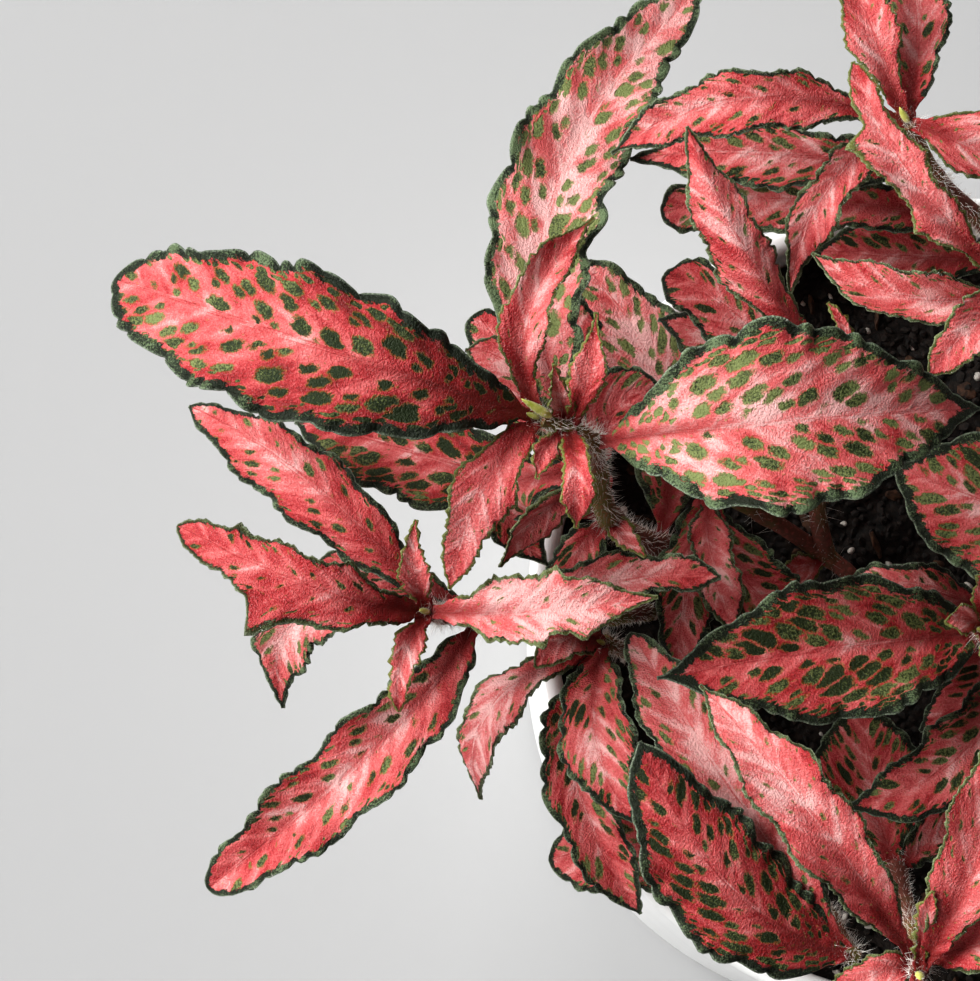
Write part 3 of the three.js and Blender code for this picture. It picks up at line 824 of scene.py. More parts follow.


# Stems: x, y and up of each point, from the collar at the soil to the tip.
# Leaves: opposite pairs, from the oldest at the bottom to the newest.
# A leaf's last field, where it is given, is painted light and shade: paler where positive, redder and darker
# where negative.
SHOOTS = (
    Shoot(
        "leafy_stem_west_high",
        1.9,
        (
            ((-33, 8), (-41, 8.5, 11.5), (-48, 12.5, 28.5), (-50, 19, 40), (-50.6, 23.4, 47), (-54, 25.6, 51),
             (-58.2, 27.1, 54)),
        ),
        (
            Leaf(2, (-41, 30, 9), (-52.3, 50, 11), 7.2, 1, point=0.6, peak=0.55, tone=(0.5, 0.7)),
            Leaf(3, (-74, 21, 26), (-93.5, 26.5, 16.5), 7, 1, spots=1.4, tone=(-0.3, -0.3)),
            Leaf(3, (-60, 31, 20), (-67.5, 42.5, 17.5), 5, 1, point=0.5, peak=0.6),
            Leaf(3, (-52.5, 34, 27), (-53, 45, 25), 4, 1, point=0.6),
            Leaf(3, (-53, 6, 24.5), (-54, -3.6, 22.8), 4, 0.9),
            Leaf(3, (-46, 10, 31), (-43, 7, 32.5), 2, 0.3),
            Leaf(4, (-57.6, 55.5, 37.5), (-34.5, 91, 21.5), 8.2, 1, point=0.6, peak=0.58, fold=9,
                 tone=(0.9, 0.8)),
            Leaf(4, (-58, 13, 37.5), (-64, 5.6, 31), 3.2, 0.5, roll=50),
            Leaf(4, (-62.5, 16, 31.5), (-57, 5.7, 24), 5, 0.9),
            Leaf(4, (-61, 33, 35), (-69, 37, 33), 3.6, 0.6),
            Leaf(4, (-47.5, 28.5, 43), (-40.5, 31, 41), 5, 0.9, point=0.7),
            Leaf(4, (-54, 28.5, 37), (-53.8, 38, 35), 3.4, 0.7, point=0.5),
            Leaf(7, (-88, 36.2, 65), (-119.8, 47.4, 46), 11.3, 1, point=0.5, peak=0.6, fold=0,
                 tone=(-1.3, 0.3)),
            Leaf(5, (-24, 27, 62), (6, 28.5, 46.5), 14, 1, point=1.25, peak=0.5, base=1.5, tone=(0.9, 0.15)),
            Leaf(7, (-60.2, 42, 59), (-50.3, 56.5, 56.5), 3.8, 0.4, fold=30, tone=(-0.1, 0.1)),
            Leaf(7, (-66, 17, 55.5), (-71.2, 2.4, 45), 4.2, 0.4, fold=8),
            Leaf(6, (-51.3, 33.4, 58.5), (-50, 42.6, 61), 2.4, 0.2, peak=0.4, tone=(-0.6, -0.2)),
            Leaf(6, (-52.8, 19, 59), (-53, 11.2, 56.5), 2.5, 0.2, tone=(-0.6, -0.2)),
            Leaf(6, (-55.4, 30.5, 56), (-56.2, 35, 59.5), 1.8, 0),
            Leaf(6, (-57.2, 22.5, 55.5), (-58.6, 18.2, 56.5), 1.4, 0),
        ),
        side_bud=((-56.4, 27.2, 54.5), (-61, 30, 58)),
        silk=1.9,
    ),
    Shoot(
        "leafy_stem_west_low",
        1.4,
        (
            ((-43, -1), (-48, -1.5, 6), (-57, -2, 16.5), (-67, -1.8, 28.5), (-72.5, -1.4, 35.5),
             (-74.2, -1, 39)),
        ),
        (
            Leaf(4, (-48.5, 3.8, 30), (-32.2, 4, 31.5), 3.2, 0.7, point=0.6, base=0.7),
            Leaf(4, (-80, 5, 29), (-91, 5.5, 26.5), 3, 0.7),
            Leaf(4, (-90.5, -0.8, 25), (-95, -14.7, 15), 4.6, 0.8, peak=0.62, base=1.4, tone=(0.3, 0.3)),
            Leaf(4, (-80.2, -19.4, 33), (-105.5, -40.5, 21.5), 6.3, 0.9, peak=0.62, point=0.5, fold=20,
                 spots=0.65, tone=(0.2, 0.0)),
            Leaf(5, (-91, 17, 37), (-108.8, 28.8, 28), 5.8, 0.9, point=0.7, fold=-22, spots=0.6,
                 tone=(-0.2, 0.0)),
            Leaf(6, (-91, 2.3, 48), (-110.3, 11.5, 39.5), 4.6, 0.6, point=0.6,
                 teeth=((0.57, 4.8, -1), (0.77, 1.8, 1), (0.36, 0.7, 1)), tone=(-0.4, -0.3)),
            Leaf(6, (-58, -0.5, 47.5), (-41.3, 1.2, 48), 4.4, 0.5, peak=0.45,
                 teeth=((0.6, 2.4, -1), (0.33, 1.5, -1), (0.31, 1.2, 1), (0.54, 1.9, 1), (0.7, 1.2, 1)),
                 tone=(0.7, 0.5)),
            Leaf(6, (-76.4, 5.5, 43), (-76, 12.3, 43), 2, 0.2),
            Leaf(6, (-77.7, -8, 43), (-78.4, -15.2, 40), 2.2, 0.2),
        ),
    ),
    Shoot(
        "leafy_stem_southwest",
        1.3,
        (((-36, -10), (-42, -8, 3), (-49, -5.5, 13.5)),),
        (
            Leaf(3, (-64.5, -14.5, 16), (-66.7, -27.7, 4), 3.7, 0.6, fold=6, roll=-26, tone=(0.3, 0.4)),
            Leaf(3, (-54, -5, 20), (-59, -9, 21.5), 3, 0.5),
            Leaf(3, (-52.8, -23, 17.5), (-44, -44, 11), 5.4, 1, point=0.6, fold=22, roll=-14),
            Leaf(3, (-50, -18, 22), (-45, -31, 21), 6, 0.9, fold=12, roll=-26),
        ),
    ),
    Shoot(
        "leafy_stem_south_left",
        1.4,
        (((-24, -28), (-22, -36, 6), (-17, -45, 16.5), (-14, -50, 24)),),
        (
            Leaf(2, (-42, -34.8, 9), (-57, -36.5, 6), 5.8, 1, peak=0.62, point=0.5),
            Leaf(4, (-31.3, -40.7, 32), (-44, -19.5, 37), 8.8, 1, point=0.8, base=0.8, fold=-8,
                 tone=(-0.3, -0.5)),
            Leaf(4, (-31, -27, 29), (-45.3, -4, 19.5), 6.2, 0.8, peak=0.58, point=0.7, tone=(0.3, 0.4)),
        ),
        buds=False,
    ),
    Shoot(
        "leafy_stem_south",
        1.5,
        (((-9, -31), (-7.5, -38, 8), (-5.5, -46, 23.5), (-4.7, -51, 33), (-4.5, -52.3, 36.5)),),
        (
            Leaf(2, (-11, -27, 6), (-12.5, -12.5, 4), 8.4, 1),
            Leaf(2, (-2, -33, 8), (6, -28, 5), 3.5, 1),
            Leaf(4, (-19.5, -30.5, 45.5), (-35.3, -11.5, 39.5), 5.5, 0.6, spots=0.25, tone=(0.0, 0.5)),
            Leaf(4, (12, -46, 40), (30, -44, 33), 6, 0.6),
            Leaf(4, (-11, -53, 35), (-18, -57, 31), 3.4, 0.5),
            Leaf(5, (5, -33, 45), (12, -11, 43), 6, 0.5),
            Leaf(5, (-10, -68, 38), (-18, -86, 26.5), 6, 0.5),
            Leaf(5, (-3.8, -46, 40.5), (-2.4, -40.8, 44), 1.5, 0),
        ),
    ),
    Shoot(
        "leafy_stem_middle",
        1.4,
        (((14, -4), (11, -4, 10), (7, -4, 25), (5.3, -3.6, 31.5)),),
        (
            Leaf(2, (-3, 2.2, 21), (-15.5, 2.8, 19), 3.5, 0.9),
            Leaf(2, (6, -11, 15), (-4, -18, 13.5), 5.6, 0.9),
            Leaf(2, (3, -21, 22.5), (-15, -29, 19), 6, 1),
            Leaf(3, (-15, -6.5, 34.5), (-41.5, -10.5, 35), 10.8, 1, point=1.25, fold=18, spots=1.2,
                 tone=(0.0, -0.3)),
            Leaf(3, (22, -7, 29), (40, -12, 24), 7, 1),
            Leaf(4, (2.5, -2.2, 35), (-0.2, -2.6, 36.5), 1.7, 0.1),
            Leaf(4, (9, -4.5, 35.5), (13, -6, 38), 2, 0.1),
            Leaf(4, (7, 4, 36.5), (9, 11, 38), 2.8, 0.3),
            Leaf(4, (8, -11, 36.5), (9, -19, 35), 3, 0.3),
        ),
    ),
    Shoot(
        "leafy_stem_branched",
        1.4,
        (
            ((-13.5, 4), (-17, 7, -6), (-26, 13, 2), (-34, 17, 10)),
            ((-17, 7, -6), (-18.3, 14, 3), (-18, 26, 21.5), (-17.5, 36, 40)),
        ),
        (
            Leaf(2, (-20.5, 5, -3), (-25, 4, 0), 2, 0.4),
            Leaf(4, (-36.4, 4, 18), (-38.8, -9.5, 13), 5.2, 1),
            Leaf(4, (-33.2, 6.5, 21), (-29.5, -6, 21.5), 3.1, 0.6),
            Leaf(4, (-28, 3, 14), (-17, -2, 13.5), 5.5, 1),
            Leaf(7, (-31, 42.6, 25), (-40.5, 47.4, 23.5), 4.7, 0.9, point=0.6),
            Leaf(7, (-31, 37, 21), (-41, 41.5, 17.5), 4, 1),
            Leaf(8, (-29, 52, 49), (-36.7, 70, 49), 5.1, 0.6, fold=-32),
            Leaf(8, (-14, 39, 43), (-16.5, 44, 44), 1.8, 0.1),
        ),
        silk=0.35,
    ),
    Shoot(
        "leafy_stem_north",
        1.4,
        (((9, 45), (10, 50, 11.5), (6, 56, 25), (-0.5, 62.5, 34), (-4.5, 70.5, 40.5)),),
        (
            Leaf(2, (-7, 50.5, 16), (-18.5, 51.5, 15), 5.2, 1),
            Leaf(2, (13, 57, 18), (17, 63, 17), 4.5, 1),
            Leaf(3, (-23, 58.8, 26), (-40.5, 57, 22), 4.6, 0.9, point=0.45, peak=0.55, base=0.8),
            Leaf(4, (-24, 65.5, 33), (-45, 65.2, 30), 4.7, 0.9),
            Leaf(5, (-3.2, 86, 37), (-3, 103, 27), 4.7, 0.8),
            Leaf(5, (-28, 73.6, 46.5), (-47.7, 66, 40.5), 4.6, 0.7),
            Leaf(5, (-16.4, 60, 40), (-22, 45, 36.5), 3.4, 0.6),
            Leaf(5, (-10.3, 86, 43), (-12.8, 101, 38), 3.9, 0.4),
            Leaf(5, (7, 66.3, 44), (20, 59.5, 38.5), 5, 0.5),
        ),
    ),
    Shoot(
        "leafy_stem_north_middle",
        1.4,
        (((18, 30), (16, 35, 10), (13, 41, 26.5), (12, 46, 45)),),
        (
            Leaf(4, (-3.2, 60.5, 53), (-12.4, 79.6, 51.5), 3.1, 0.4, point=0.6,
                 teeth=((0.74, 3.4, -1), (0.6, 1.3, 1), (0.42, 1, -1))),
            Leaf(4, (-5, 44.5, 46.5), (-18.7, 51.3, 45), 5, 0.6, fold=42, tone=(0.2, 0.2)),
            Leaf(4, (4.5, 40, 48), (-2, 33.3, 48), 4, 0.5),
            Leaf(4, (28, 44, 49), (44, 36, 46.5), 7, 0.7),
            Leaf(4, (22, 60, 50), (27, 78, 48), 5, 0.5),
        ),
    ),
    Shoot(
        "leafy_stem_east_middle",
        1.5,
        (((34, -2), (34, 2, 8), (33.5, 6, 23.5), (33, 8, 31.5)),),
        (
            Leaf(3, (13, 12, 28.5), (-7, 20, 24), 11.5, 1, point=0.8),
            Leaf(3, (50, 2, 28.5), (68, -2, 21.5), 9, 1),
            Leaf(4, (38, 22, 40), (46, 34, 40), 5.5, 0.6),
            Leaf(4, (30, -8, 38), (24, -24, 35), 5.5, 0.6),
            Leaf(4, (40, 8, 37.5), (47, 7, 40.5), 2.6, 0.2),
            Leaf(4, (27, 11, 38), (20, 13, 41.5), 2.6, 0.2),
        ),
    ),
    Shoot(
        "leafy_stem_northeast",
        1.5,
        (((38, 22), (43, 25, 11.5), (50, 29, 28.5), (54, 31, 38)),),
        (
            Leaf(2, (58, 28, 14), (72, 30, 9), 6, 1),
            Leaf(3, (67, 16, 29), (83, 5, 20.5), 8, 1),
            Leaf(3, (38, 42, 35), (26, 54, 36.5), 7, 1),
            Leaf(4, (66, 46, 41.5), (76, 60, 33), 8.5, 0.9),
            Leaf(4, (42, 20, 49), (32, 13, 49), 6, 0.7),
            Leaf(4, (52, 37, 45), (50, 42, 48), 2.4, 0.2),
            Leaf(4, (57, 26, 45), (60, 21, 48), 2.4, 0.2),
        ),
    ),
    Shoot(
        "leafy_stem_east",
        1.5,
        (((43, -12), (50, -13, 10), (60, -12, 23.5), (68, -10, 33), (70, -9.5, 36.5)),),
        (
            Leaf(3, (66, -26, 20), (68, -40, 13.5), 6, 1),
            Leaf(4, (72, 7, 38), (74, 24, 33), 8, 1),
            Leaf(4, (76, -28, 36.5), (82, -46, 26.5), 8, 1),
            Leaf(5, (90, -10, 40.5), (108, -14, 28.5), 9, 0.9),
            Leaf(5, (54, -8, 45), (40, -4, 46.5), 6.5, 0.7),
            Leaf(5, (71, -4, 43), (72, 2, 46.5), 2.4, 0.2),
            Leaf(5, (70, -15, 43), (69, -21, 46.5), 2.4, 0.2),
        ),
    ),
    Shoot(
        "leafy_stem_southeast",
        1.5,
        (((27, -28), (30, -35, 11.5), (36, -42, 28.5), (39, -45, 36.5)),),
        (
            Leaf(2, (44, -36, 14), (58, -40, 10), 6, 1),
            Leaf(2, (20, -36, 13.5), (12, -36, 10), 4.5, 1),
            Leaf(3, (34, -60, 31.5), (30, -80, 21.5), 8, 1),
            Leaf(3, (38, -26, 33), (38, -10, 30), 6, 1),
            Leaf(4, (54, -48, 41.5), (66, -56, 33), 6.5, 0.8),
            Leaf(4, (24, -51, 44), (12, -58, 43), 5, 0.6),
            Leaf(4, (40, -38, 43), (42, -32, 46.5), 2.4, 0.2),
            Leaf(4, (38, -52, 43), (37, -58, 46.5), 2.4, 0.2),
        ),
    ),
    Shoot(
        "leafy_stem_far_north",
        1.4,
        (((20, 42), (25, 50, 10), (32, 59, 25), (36, 64, 35)),),
        (
            Leaf(3, (48, 66, 28.5), (64, 72, 20), 7.5, 1),
            Leaf(3, (20, 61, 30), (9, 62, 28.5), 5, 1),
            Leaf(4, (40, 82, 38), (42, 98, 28.5), 8, 0.9),
            Leaf(4, (38, 57, 40), (40, 50, 40.5), 3.2, 0.5),
            Leaf(4, (43, 67, 40.5), (49, 69, 44), 2.6, 0.2),
            Leaf(4, (31, 66, 40.5), (26, 68, 44), 2.4, 0.2),
        ),
    ),
)


@dataclass(frozen=True)
class Grid:
    """The rows and columns of a leaf's points: one number a row, a column or a point, in millimetres.

    Each row has its t from 0 to 1, its run from the root, its share of the widest half width and its reach to
    the margin. Each point has its x from the midrib, its edge from 0 at the midrib to 1 at the margin, and
    the sign of its side.
    """

    length: float
    wide: float
    t: np.ndarray
    run: np.ndarray
    share: np.ndarray
    reach: np.ndarray
    x: np.ndarray
    edge: np.ndarray
    sign: np.ndarray


@dataclass(frozen=True)
class Blade:
    """The fine surface of one leaf, on the same curve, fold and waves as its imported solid."""

    leaf: Leaf
    root: np.ndarray
    seed: int
    row_step: float = 0.6
    young_step: float = 0.36
    column_step: float = 0.72
    crowding: float = 0.38
    thick: float = 0.42
    rib: float = 0.5
    petiole: float = 0.9
    tip_width: float = 0.3
    tooth: float = 0.5
    tooth_spacing: float = 11.0
    ruffle_spacing: float = 17.0
    young_fold: float = 26.0
    unfolding: float = 18.0
    keel_round: float = 0.06
    lobe: float = 1.25
    lobes_a_vein: float = 1.5
    nick: float = 0.55
    nick_spacing: float = 1.5
    groove: float = 0.08
    groove_width: float = 0.6
    rib_width: float = 0.55
    silk_reach: float = 3.0
    quilt: float = 0.36
    tip_rows: tuple[float, ...] = (0.5, 0.25, 0.1, 0.0)

    @property
    def phase(self) -> float:
        """Where the margin's waves start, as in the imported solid."""
        return 0.9 * self.leaf.tip[0] + 0.37 * self.leaf.tip[1]

    @property
    def fold(self) -> float:
        """The fold of each half in radians, which is larger in a young leaf."""
        given = self.leaf.fold
        return math.radians(self.young_fold - self.unfolding * self.leaf.age if given is None else given)

    def midrib(self, t: np.ndarray) -> np.ndarray:
        """Points of the midrib.

        Args:
            t: How far along, from 0 at the root to 1 at the tip.

        Returns:
            One point a row.
        """
        t = t[:, None]
        middle, tip = place(self.leaf.middle), place(self.leaf.tip)
        return self.root * (1 - t) * (1 - 2 * t) + middle * 4 * t * (1 - t) + tip * t * (2 * t - 1)

    def heading(self, t: np.ndarray) -> np.ndarray:
        """The midrib's direction, not of length 1.

        Args:
            t: How far along, from 0 at the root to 1 at the tip.

        Returns:
            One direction a row.
        """
        t = t[:, None]
        middle, tip = place(self.leaf.middle), place(self.leaf.tip)
        return self.root * (4 * t - 3) + middle * (4 - 8 * t) + tip * (4 * t - 1)

    def rows(self) -> tuple[np.ndarray, np.ndarray]:
        """Where the rows across the leaf lie.

        Returns:
            How far along each row is, as a share and in millimetres.
        """
        even = np.linspace(0, 1, 401)
        steps = np.linalg.norm(np.diff(self.midrib(even), axis=0), axis=1)
        run = np.concatenate([[0], np.cumsum(steps)])
        last = run[-1] - self.row_step
        step = self.row_step if self.leaf.age > 0.8 else self.young_step
        stops = np.linspace(0, last, max(8, round(last / step)), endpoint=False)
        stops = np.concatenate([stops, last + self.row_step * (1 - np.array((1.0, *self.tip_rows)))])
        return np.interp(stops, run, even), stops

    def outline(self, t: np.ndarray) -> np.ndarray:
        """The leaf's outline.

        Args:
            t: How far along, from 0 at the root to 1 at the tip.

        Returns:
            The half width at each t, as a share of the widest.
        """
        leaf = self.leaf
        away = np.where(t < leaf.peak, (leaf.peak - t) / leaf.peak, (t - leaf.peak) / (1 - leaf.peak))
        return np.clip(1 - away ** 2, 0, 1) ** np.where(t < leaf.peak, leaf.base, leaf.point)

    def lobes(self, ripple: np.ndarray) -> tuple[np.ndarray, np.ndarray, np.ndarray]:
        """Shapes of the small lobes and teeth that follow one another along a margin.

        Args:
            ripple: The place along the margin, counted in lobes.

        Returns:
            A rounded lobe, a tooth that points forwards and the size of each.
        """
        rounded = np.abs(np.sin(math.pi * ripple)) ** 0.6 - 0.6
        hooked = (ripple % 1.0) ** 1.6 - 0.4
        chance = np.sin(np.floor(ripple) * 12.9898 + self.seed * 7.1) * 43758.5
        return rounded, hooked, 0.6 + 0.8 * (chance - np.floor(chance))

    def axes(self, t: np.ndarray) -> tuple[np.ndarray, np.ndarray]:
        """Turns the leaf about its midrib.

        Args:
            t: How far along, from 0 at the root to 1 at the tip.

        Returns:
            The direction across the leaf and the direction out of its top, one a row.
        """
        heading = self.heading(t)
        flat = heading + 0.2 * (place(self.leaf.tip) - self.root)
        flat[:, 2] = 0
        flat = unit(flat)
        level = np.stack([flat[:, 1], -flat[:, 0], 0 * t], axis=1)
        ahead = unit(heading)
        roll = math.radians(-self.leaf.roll)
        rise = np.cross(ahead, level)
        along = np.sum(ahead * level, axis=1, keepdims=True)
        side = level * math.cos(roll) + rise * math.sin(roll) + ahead * along * (1 - math.cos(roll))
        return side, unit(np.cross(side, ahead))

    def grid(self) -> Grid:
        """Lays out the leaf's points.

        Returns:
            The rows and columns, which are closer together near the margins.
        """
        leaf = self.leaf
        middle, tip = place(leaf.middle), place(leaf.tip)
        length = np.linalg.norm(middle - self.root) + np.linalg.norm(tip - middle)
        wide = leaf.half_width * (1 - leaf.middle[2] / VIEW_POINT[2])
        t, run = self.rows()
        share = self.outline(t)
        teeth = 2 * math.pi * length / self.tooth_spacing
        margin = share * wide + self.tooth * np.sqrt(share) * np.sin(teeth * t + self.phase)
        reach = np.maximum(margin, np.where(t < 0.5, self.petiole, self.tip_width))
        half = max(3, math.ceil(wide / self.column_step))
        even = np.linspace(-1, 1, 2 * half + 1)
        v = (1 - self.crowding) * even + self.crowding * np.sin(even * math.pi / 2)
        v[half] = 0.0
        t, run, share, reach = (row[:, None] for row in (t, run, share, reach))
        return Grid(length, wide, t, run, share, reach, v * reach, np.abs(v), np.sign(v))

    def waves(self, grid: Grid) -> tuple[np.ndarray, np.ndarray, np.ndarray, np.ndarray]:
        """Shapes the blade: its keel, ruffles, lobes, quilting and teeth.

        Args:
            grid: The leaf's rows and columns.

        Returns:
            How far each point is lifted and how far it is moved out, the height of its lobe, and its place
            across the side veins, counted in veins.
        """
        leaf, grown = self.leaf, self.leaf.age
        t, run, x, edge, sign = grid.t, grid.run, grid.x, grid.edge, grid.sign
        taper = np.sqrt(grid.share)
        shift = 3.0 * (self.seed % 29) + 0.37 * (sign > 0)
        spacing = float(np.clip(2.2 + 0.075 * grid.length, 3.0, 7.5))
        vein = (run - (0.85 + 0.5 * t) * np.abs(x) - 0.7 * x ** 2 / grid.wide) / spacing
        wander = 0.3 * np.sin(run / 3.1 + 5 * shift) + 0.18 * np.sin(run / 1.3 - 5 * shift)
        beside = (run - 0.25 * np.abs(x)) / spacing
        rounded, hooked, size = self.lobes(self.lobes_a_vein * beside + wander + shift)

        soft = self.keel_round * grid.wide
        lift = math.sin(self.fold) * (np.hypot(x, soft) - soft)
        ruffles = 2 * math.pi * grid.length / self.ruffle_spacing
        lift = lift + (0.4 + 0.6 * grown) * grid.share * edge ** 3 * np.sin(ruffles * t + self.phase + sign)
        pucker = rounded * size * ease(edge, 0.55, 1.0) * taper
        lift = lift + self.lobe * np.clip(leaf.half_width / 11, 0.5, 1.1) * (0.15 + 0.85 * grown) * pucker
        dome = np.abs(np.sin(math.pi * (vein + shift))) ** 0.7 - 0.5
        between = ease(np.abs(x), 0.3, 1.6) * ease(edge, 0.98, 0.7) * taper
        lift = lift + self.quilt * (0.35 + 0.65 * grown) * dome * between

        out = edge ** 6 * taper * size * (0.85 * rounded * grown + 0.8 * hooked * (1 - grown))
        nick = (run / self.nick_spacing + wander) % 1.0
        out = out + edge ** 8 * taper * self.nick * nick ** 1.4 * (1 - grown) ** 0.5
        for where, reach, which in leaf.teeth:
            past = (run / run[-1] - where) * grid.length
            away = np.abs(past) / np.where(past < 0, 0.55 * reach + 0.9, 0.12 * reach + 0.35)
            out = out + np.where(sign == which, edge ** 3 * reach * np.exp(-away ** 1.3), 0)
        return lift, sign * out, pucker, vein + shift

    def marks(self, grid: Grid, pucker: np.ndarray, vein: np.ndarray) -> dict[str, np.ndarray]:
        """What the finishes and the hairs read at each point of one face.

        Args:
            grid: The leaf's rows and columns.
            pucker: The height of each point's lobe.
            vein: Each point's place across the side veins.

        Returns:
            Three numbers for each point, by attribute name.
        """
        leaf, t, run, x, edge = self.leaf, grid.t, grid.run, grid.x, grid.edge
        stops = np.maximum.accumulate(run[:, 0]) + 1e-6 * np.arange(len(run))
        slope = np.clip(np.gradient(grid.reach[:, 0], stops), -6, 6)
        lean = 1 / np.sqrt(1 + slope ** 2)[:, None]
        rim = np.minimum((1 - edge) * grid.reach * lean, run[-1] - run) + 2.5 * ease(t, 0.16, 0.02)
        fine = np.maximum(ease(edge, 0.6, 0.9), ease(t, 0.34, 0.12))
        path = np.abs(x) + 1.2 * run + 31 * (grid.sign > 0)
        hairy = np.zeros(x.shape)
        hairy[:, [0, -1]] = 0.35 + 0.65 * np.sqrt(grid.share)
        silk = ease(run, self.silk_reach, 0.3 * self.silk_reach)
        marks = {
            "veins": (vein, path, np.abs(x)),
            "blade": (t, pucker * 2, rim / np.clip(leaf.half_width / 9, 0.62, 1.1)),
            "growth": (leaf.age, leaf.age ** 1.6 if leaf.spots is None else leaf.spots, fine),
            # The third number of down is the leaf's painted light and shade, from its base to its tip.
            "down": (hairy, silk, leaf.tone[0] + t * (leaf.tone[1] - leaf.tone[0])),
        }
        return {
            label: np.stack([np.broadcast_to(row, x.shape) for row in rows], axis=-1).reshape(-1, 3)
            for label, rows in marks.items()
        }

    def add_to(self, parts: MeshParts) -> None:
        """Builds the leaf into a mesh.

        Args:
            parts: The mesh that it is added to.
        """
        grid = self.grid()
        t, x, edge = grid.t, grid.x, grid.edge
        lift, out, pucker, vein = self.waves(grid)
        side, normal = (axis[:, None, :] for axis in self.axes(t[:, 0]))
        spread = (x + out) * math.cos(self.fold)
        sheet = self.midrib(t[:, 0])[:, None, :] + side * spread[:, :, None] + normal * lift[:, :, None]
        thin = self.thick / 2 * (1 - 0.45 * edge ** 6)
        rut = self.groove * np.exp(-(x / self.groove_width) ** 2) * (1 - 0.6 * t)
        rib = self.rib * (1 - t) * np.exp(-(x / self.rib_width) ** 2)
        top = sheet + normal * (thin - rut)[:, :, None]
        under = sheet - normal * (thin + rib)[:, :, None]

        rows, columns = x.shape
        points = np.concatenate([top.reshape(-1, 3), under.reshape(-1, 3)])
        marks = {label: np.tile(values, (2, 1)) for label, values in self.marks(grid, pucker, vein).items()}
        first = parts.count
        parts.add(points, grid_faces(rows, columns, flip=True), Side.TOP.value, **marks)
        parts.add_faces(grid_faces(rows, columns, start=first + rows * columns), Side.UNDER.value)
        parts.add_faces(self.skirt(rows, columns) + first, Side.TOP.value)

    def skirt(self, rows: int, columns: int) -> np.ndarray:
        """The faces that join the two faces of the leaf all round.

        Args:
            rows: How many rows of points each face has.
            columns: How many points each row has.

        Returns:
            The faces, as rows of four indices from the first point of the top.
        """
        first = np.arange(rows) * columns
        last = first + columns - 1
        near = np.arange(columns)
        far = near + (rows - 1) * columns
        ring = np.concatenate([near, last[1:], far[-2::-1], first[-2:0:-1]])
        after = np.roll(ring, -1)
        below = rows * columns
        return np.stack([ring, after, after + below, ring + below], axis=1)


@dataclass(frozen=True)
class Bud:
    """A closed pair of tiny leaves: its root, its tip and its radius."""

    root: np.ndarray
    tip: np.ndarray
    radius: float = 0.85
    flatness: float = 0.7
    steps: int = 10
    sides: int = 12

    def add_to(self, parts: MeshParts) -> None:
        """Builds the bud into a mesh.

        Args:
            parts: The mesh that it is added to.
        """
        ahead = unit(self.tip - self.root)
        side = unit(np.cross(ahead, [0.3, 1.0, 0.2]))
        axes = np.stack([side, np.cross(ahead, side), ahead])
        share = np.linspace(0, 1, self.steps)
        girth = 1.9 * self.radius * np.sqrt(share) * (1 - share) ** 0.9
        length = np.linalg.norm(self.tip - self.root)
        points, faces = turned(np.stack([girth, share * length], axis=1), self.sides)
        points = self.root + points * [1, self.flatness, 1] @ axes
        blank = np.zeros_like(points)
        values = {label: blank for label in ("veins", "blade", "growth")}
        parts.add(points, faces, Side.BUD.value, down=blank + [0.4, 0, 0], **values)


@dataclass(frozen=True)
class StemLine:
    """The middle line of one stem."""

    points: np.ndarray
    radius: float
    tip_radius: float = 1.1
    step: float = 0.9
    swell: float = 0.22

    def at(self, share: np.ndarray) -> np.ndarray:
        """Points of the smooth curve through the stem's points.

        Args:
            share: How far along, from 0 to 1, with the points evenly spread.

        Returns:
            One point a row.
        """
        spans = len(self.points) - 1
        ends = [2 * self.points[0] - self.points[1], 2 * self.points[-1] - self.points[-2]]
        line = np.vstack([ends[0], self.points, ends[1]])
        span = np.minimum((share * spans).astype(int), spans - 1)
        t = (share * spans - span)[:, None]
        a, b, c, d = (line[span + i] for i in range(4))
        return b + 0.5 * t * (c - a + t * (2 * a - 5 * b + 4 * c - d + t * (3 * (b - c) + d - a)))

    def polyline(self) -> tuple[np.ndarray, np.ndarray]:
        """Points and radii along the stem.

        Returns:
            The points, one a row, and the radius at each.
        """
        length = np.linalg.norm(np.diff(self.points, axis=0), axis=1).sum()
        share = np.linspace(0, 1, max(6, round(length / self.step)))
        knots = share * (len(self.points) - 1)
        joint = np.exp(-((knots - np.round(knots)) * 7) ** 2) * (knots > 1.5)
        radius = self.radius + (self.tip_radius - self.radius) * share
        return self.at(share), radius * (1 + self.swell * joint)


def stem_builder() -> Builder:
    """The tree that grows a round skin on a line.

    Returns:
        The builder, with the inputs Sides and Material.
    """
    builder = Builder("stem skin", Sides=Input.COUNT)
    graph = builder.graph
    line = graph.node("GeometryNodeMeshToCurve", {}, {0: builder.given("Mesh")})
    girth = graph.node("GeometryNodeInputNamedAttribute", {"data_type": "FLOAT"}, {"Name": "girth"})
    sockets = {"Resolution": builder.given("Sides"), "Radius": 1.0}
    ring = graph.node("GeometryNodeCurvePrimitiveCircle", {}, sockets)
    sockets = {"Curve": line, "Profile Curve": ring, "Scale": girth, "Fill Caps": True}
    skin = graph.node("GeometryNodeCurveToMesh", {}, sockets)
    skin = graph.node("GeometryNodeSetShadeSmooth", {}, {0: skin})
    builder.close(skin)
    return builder


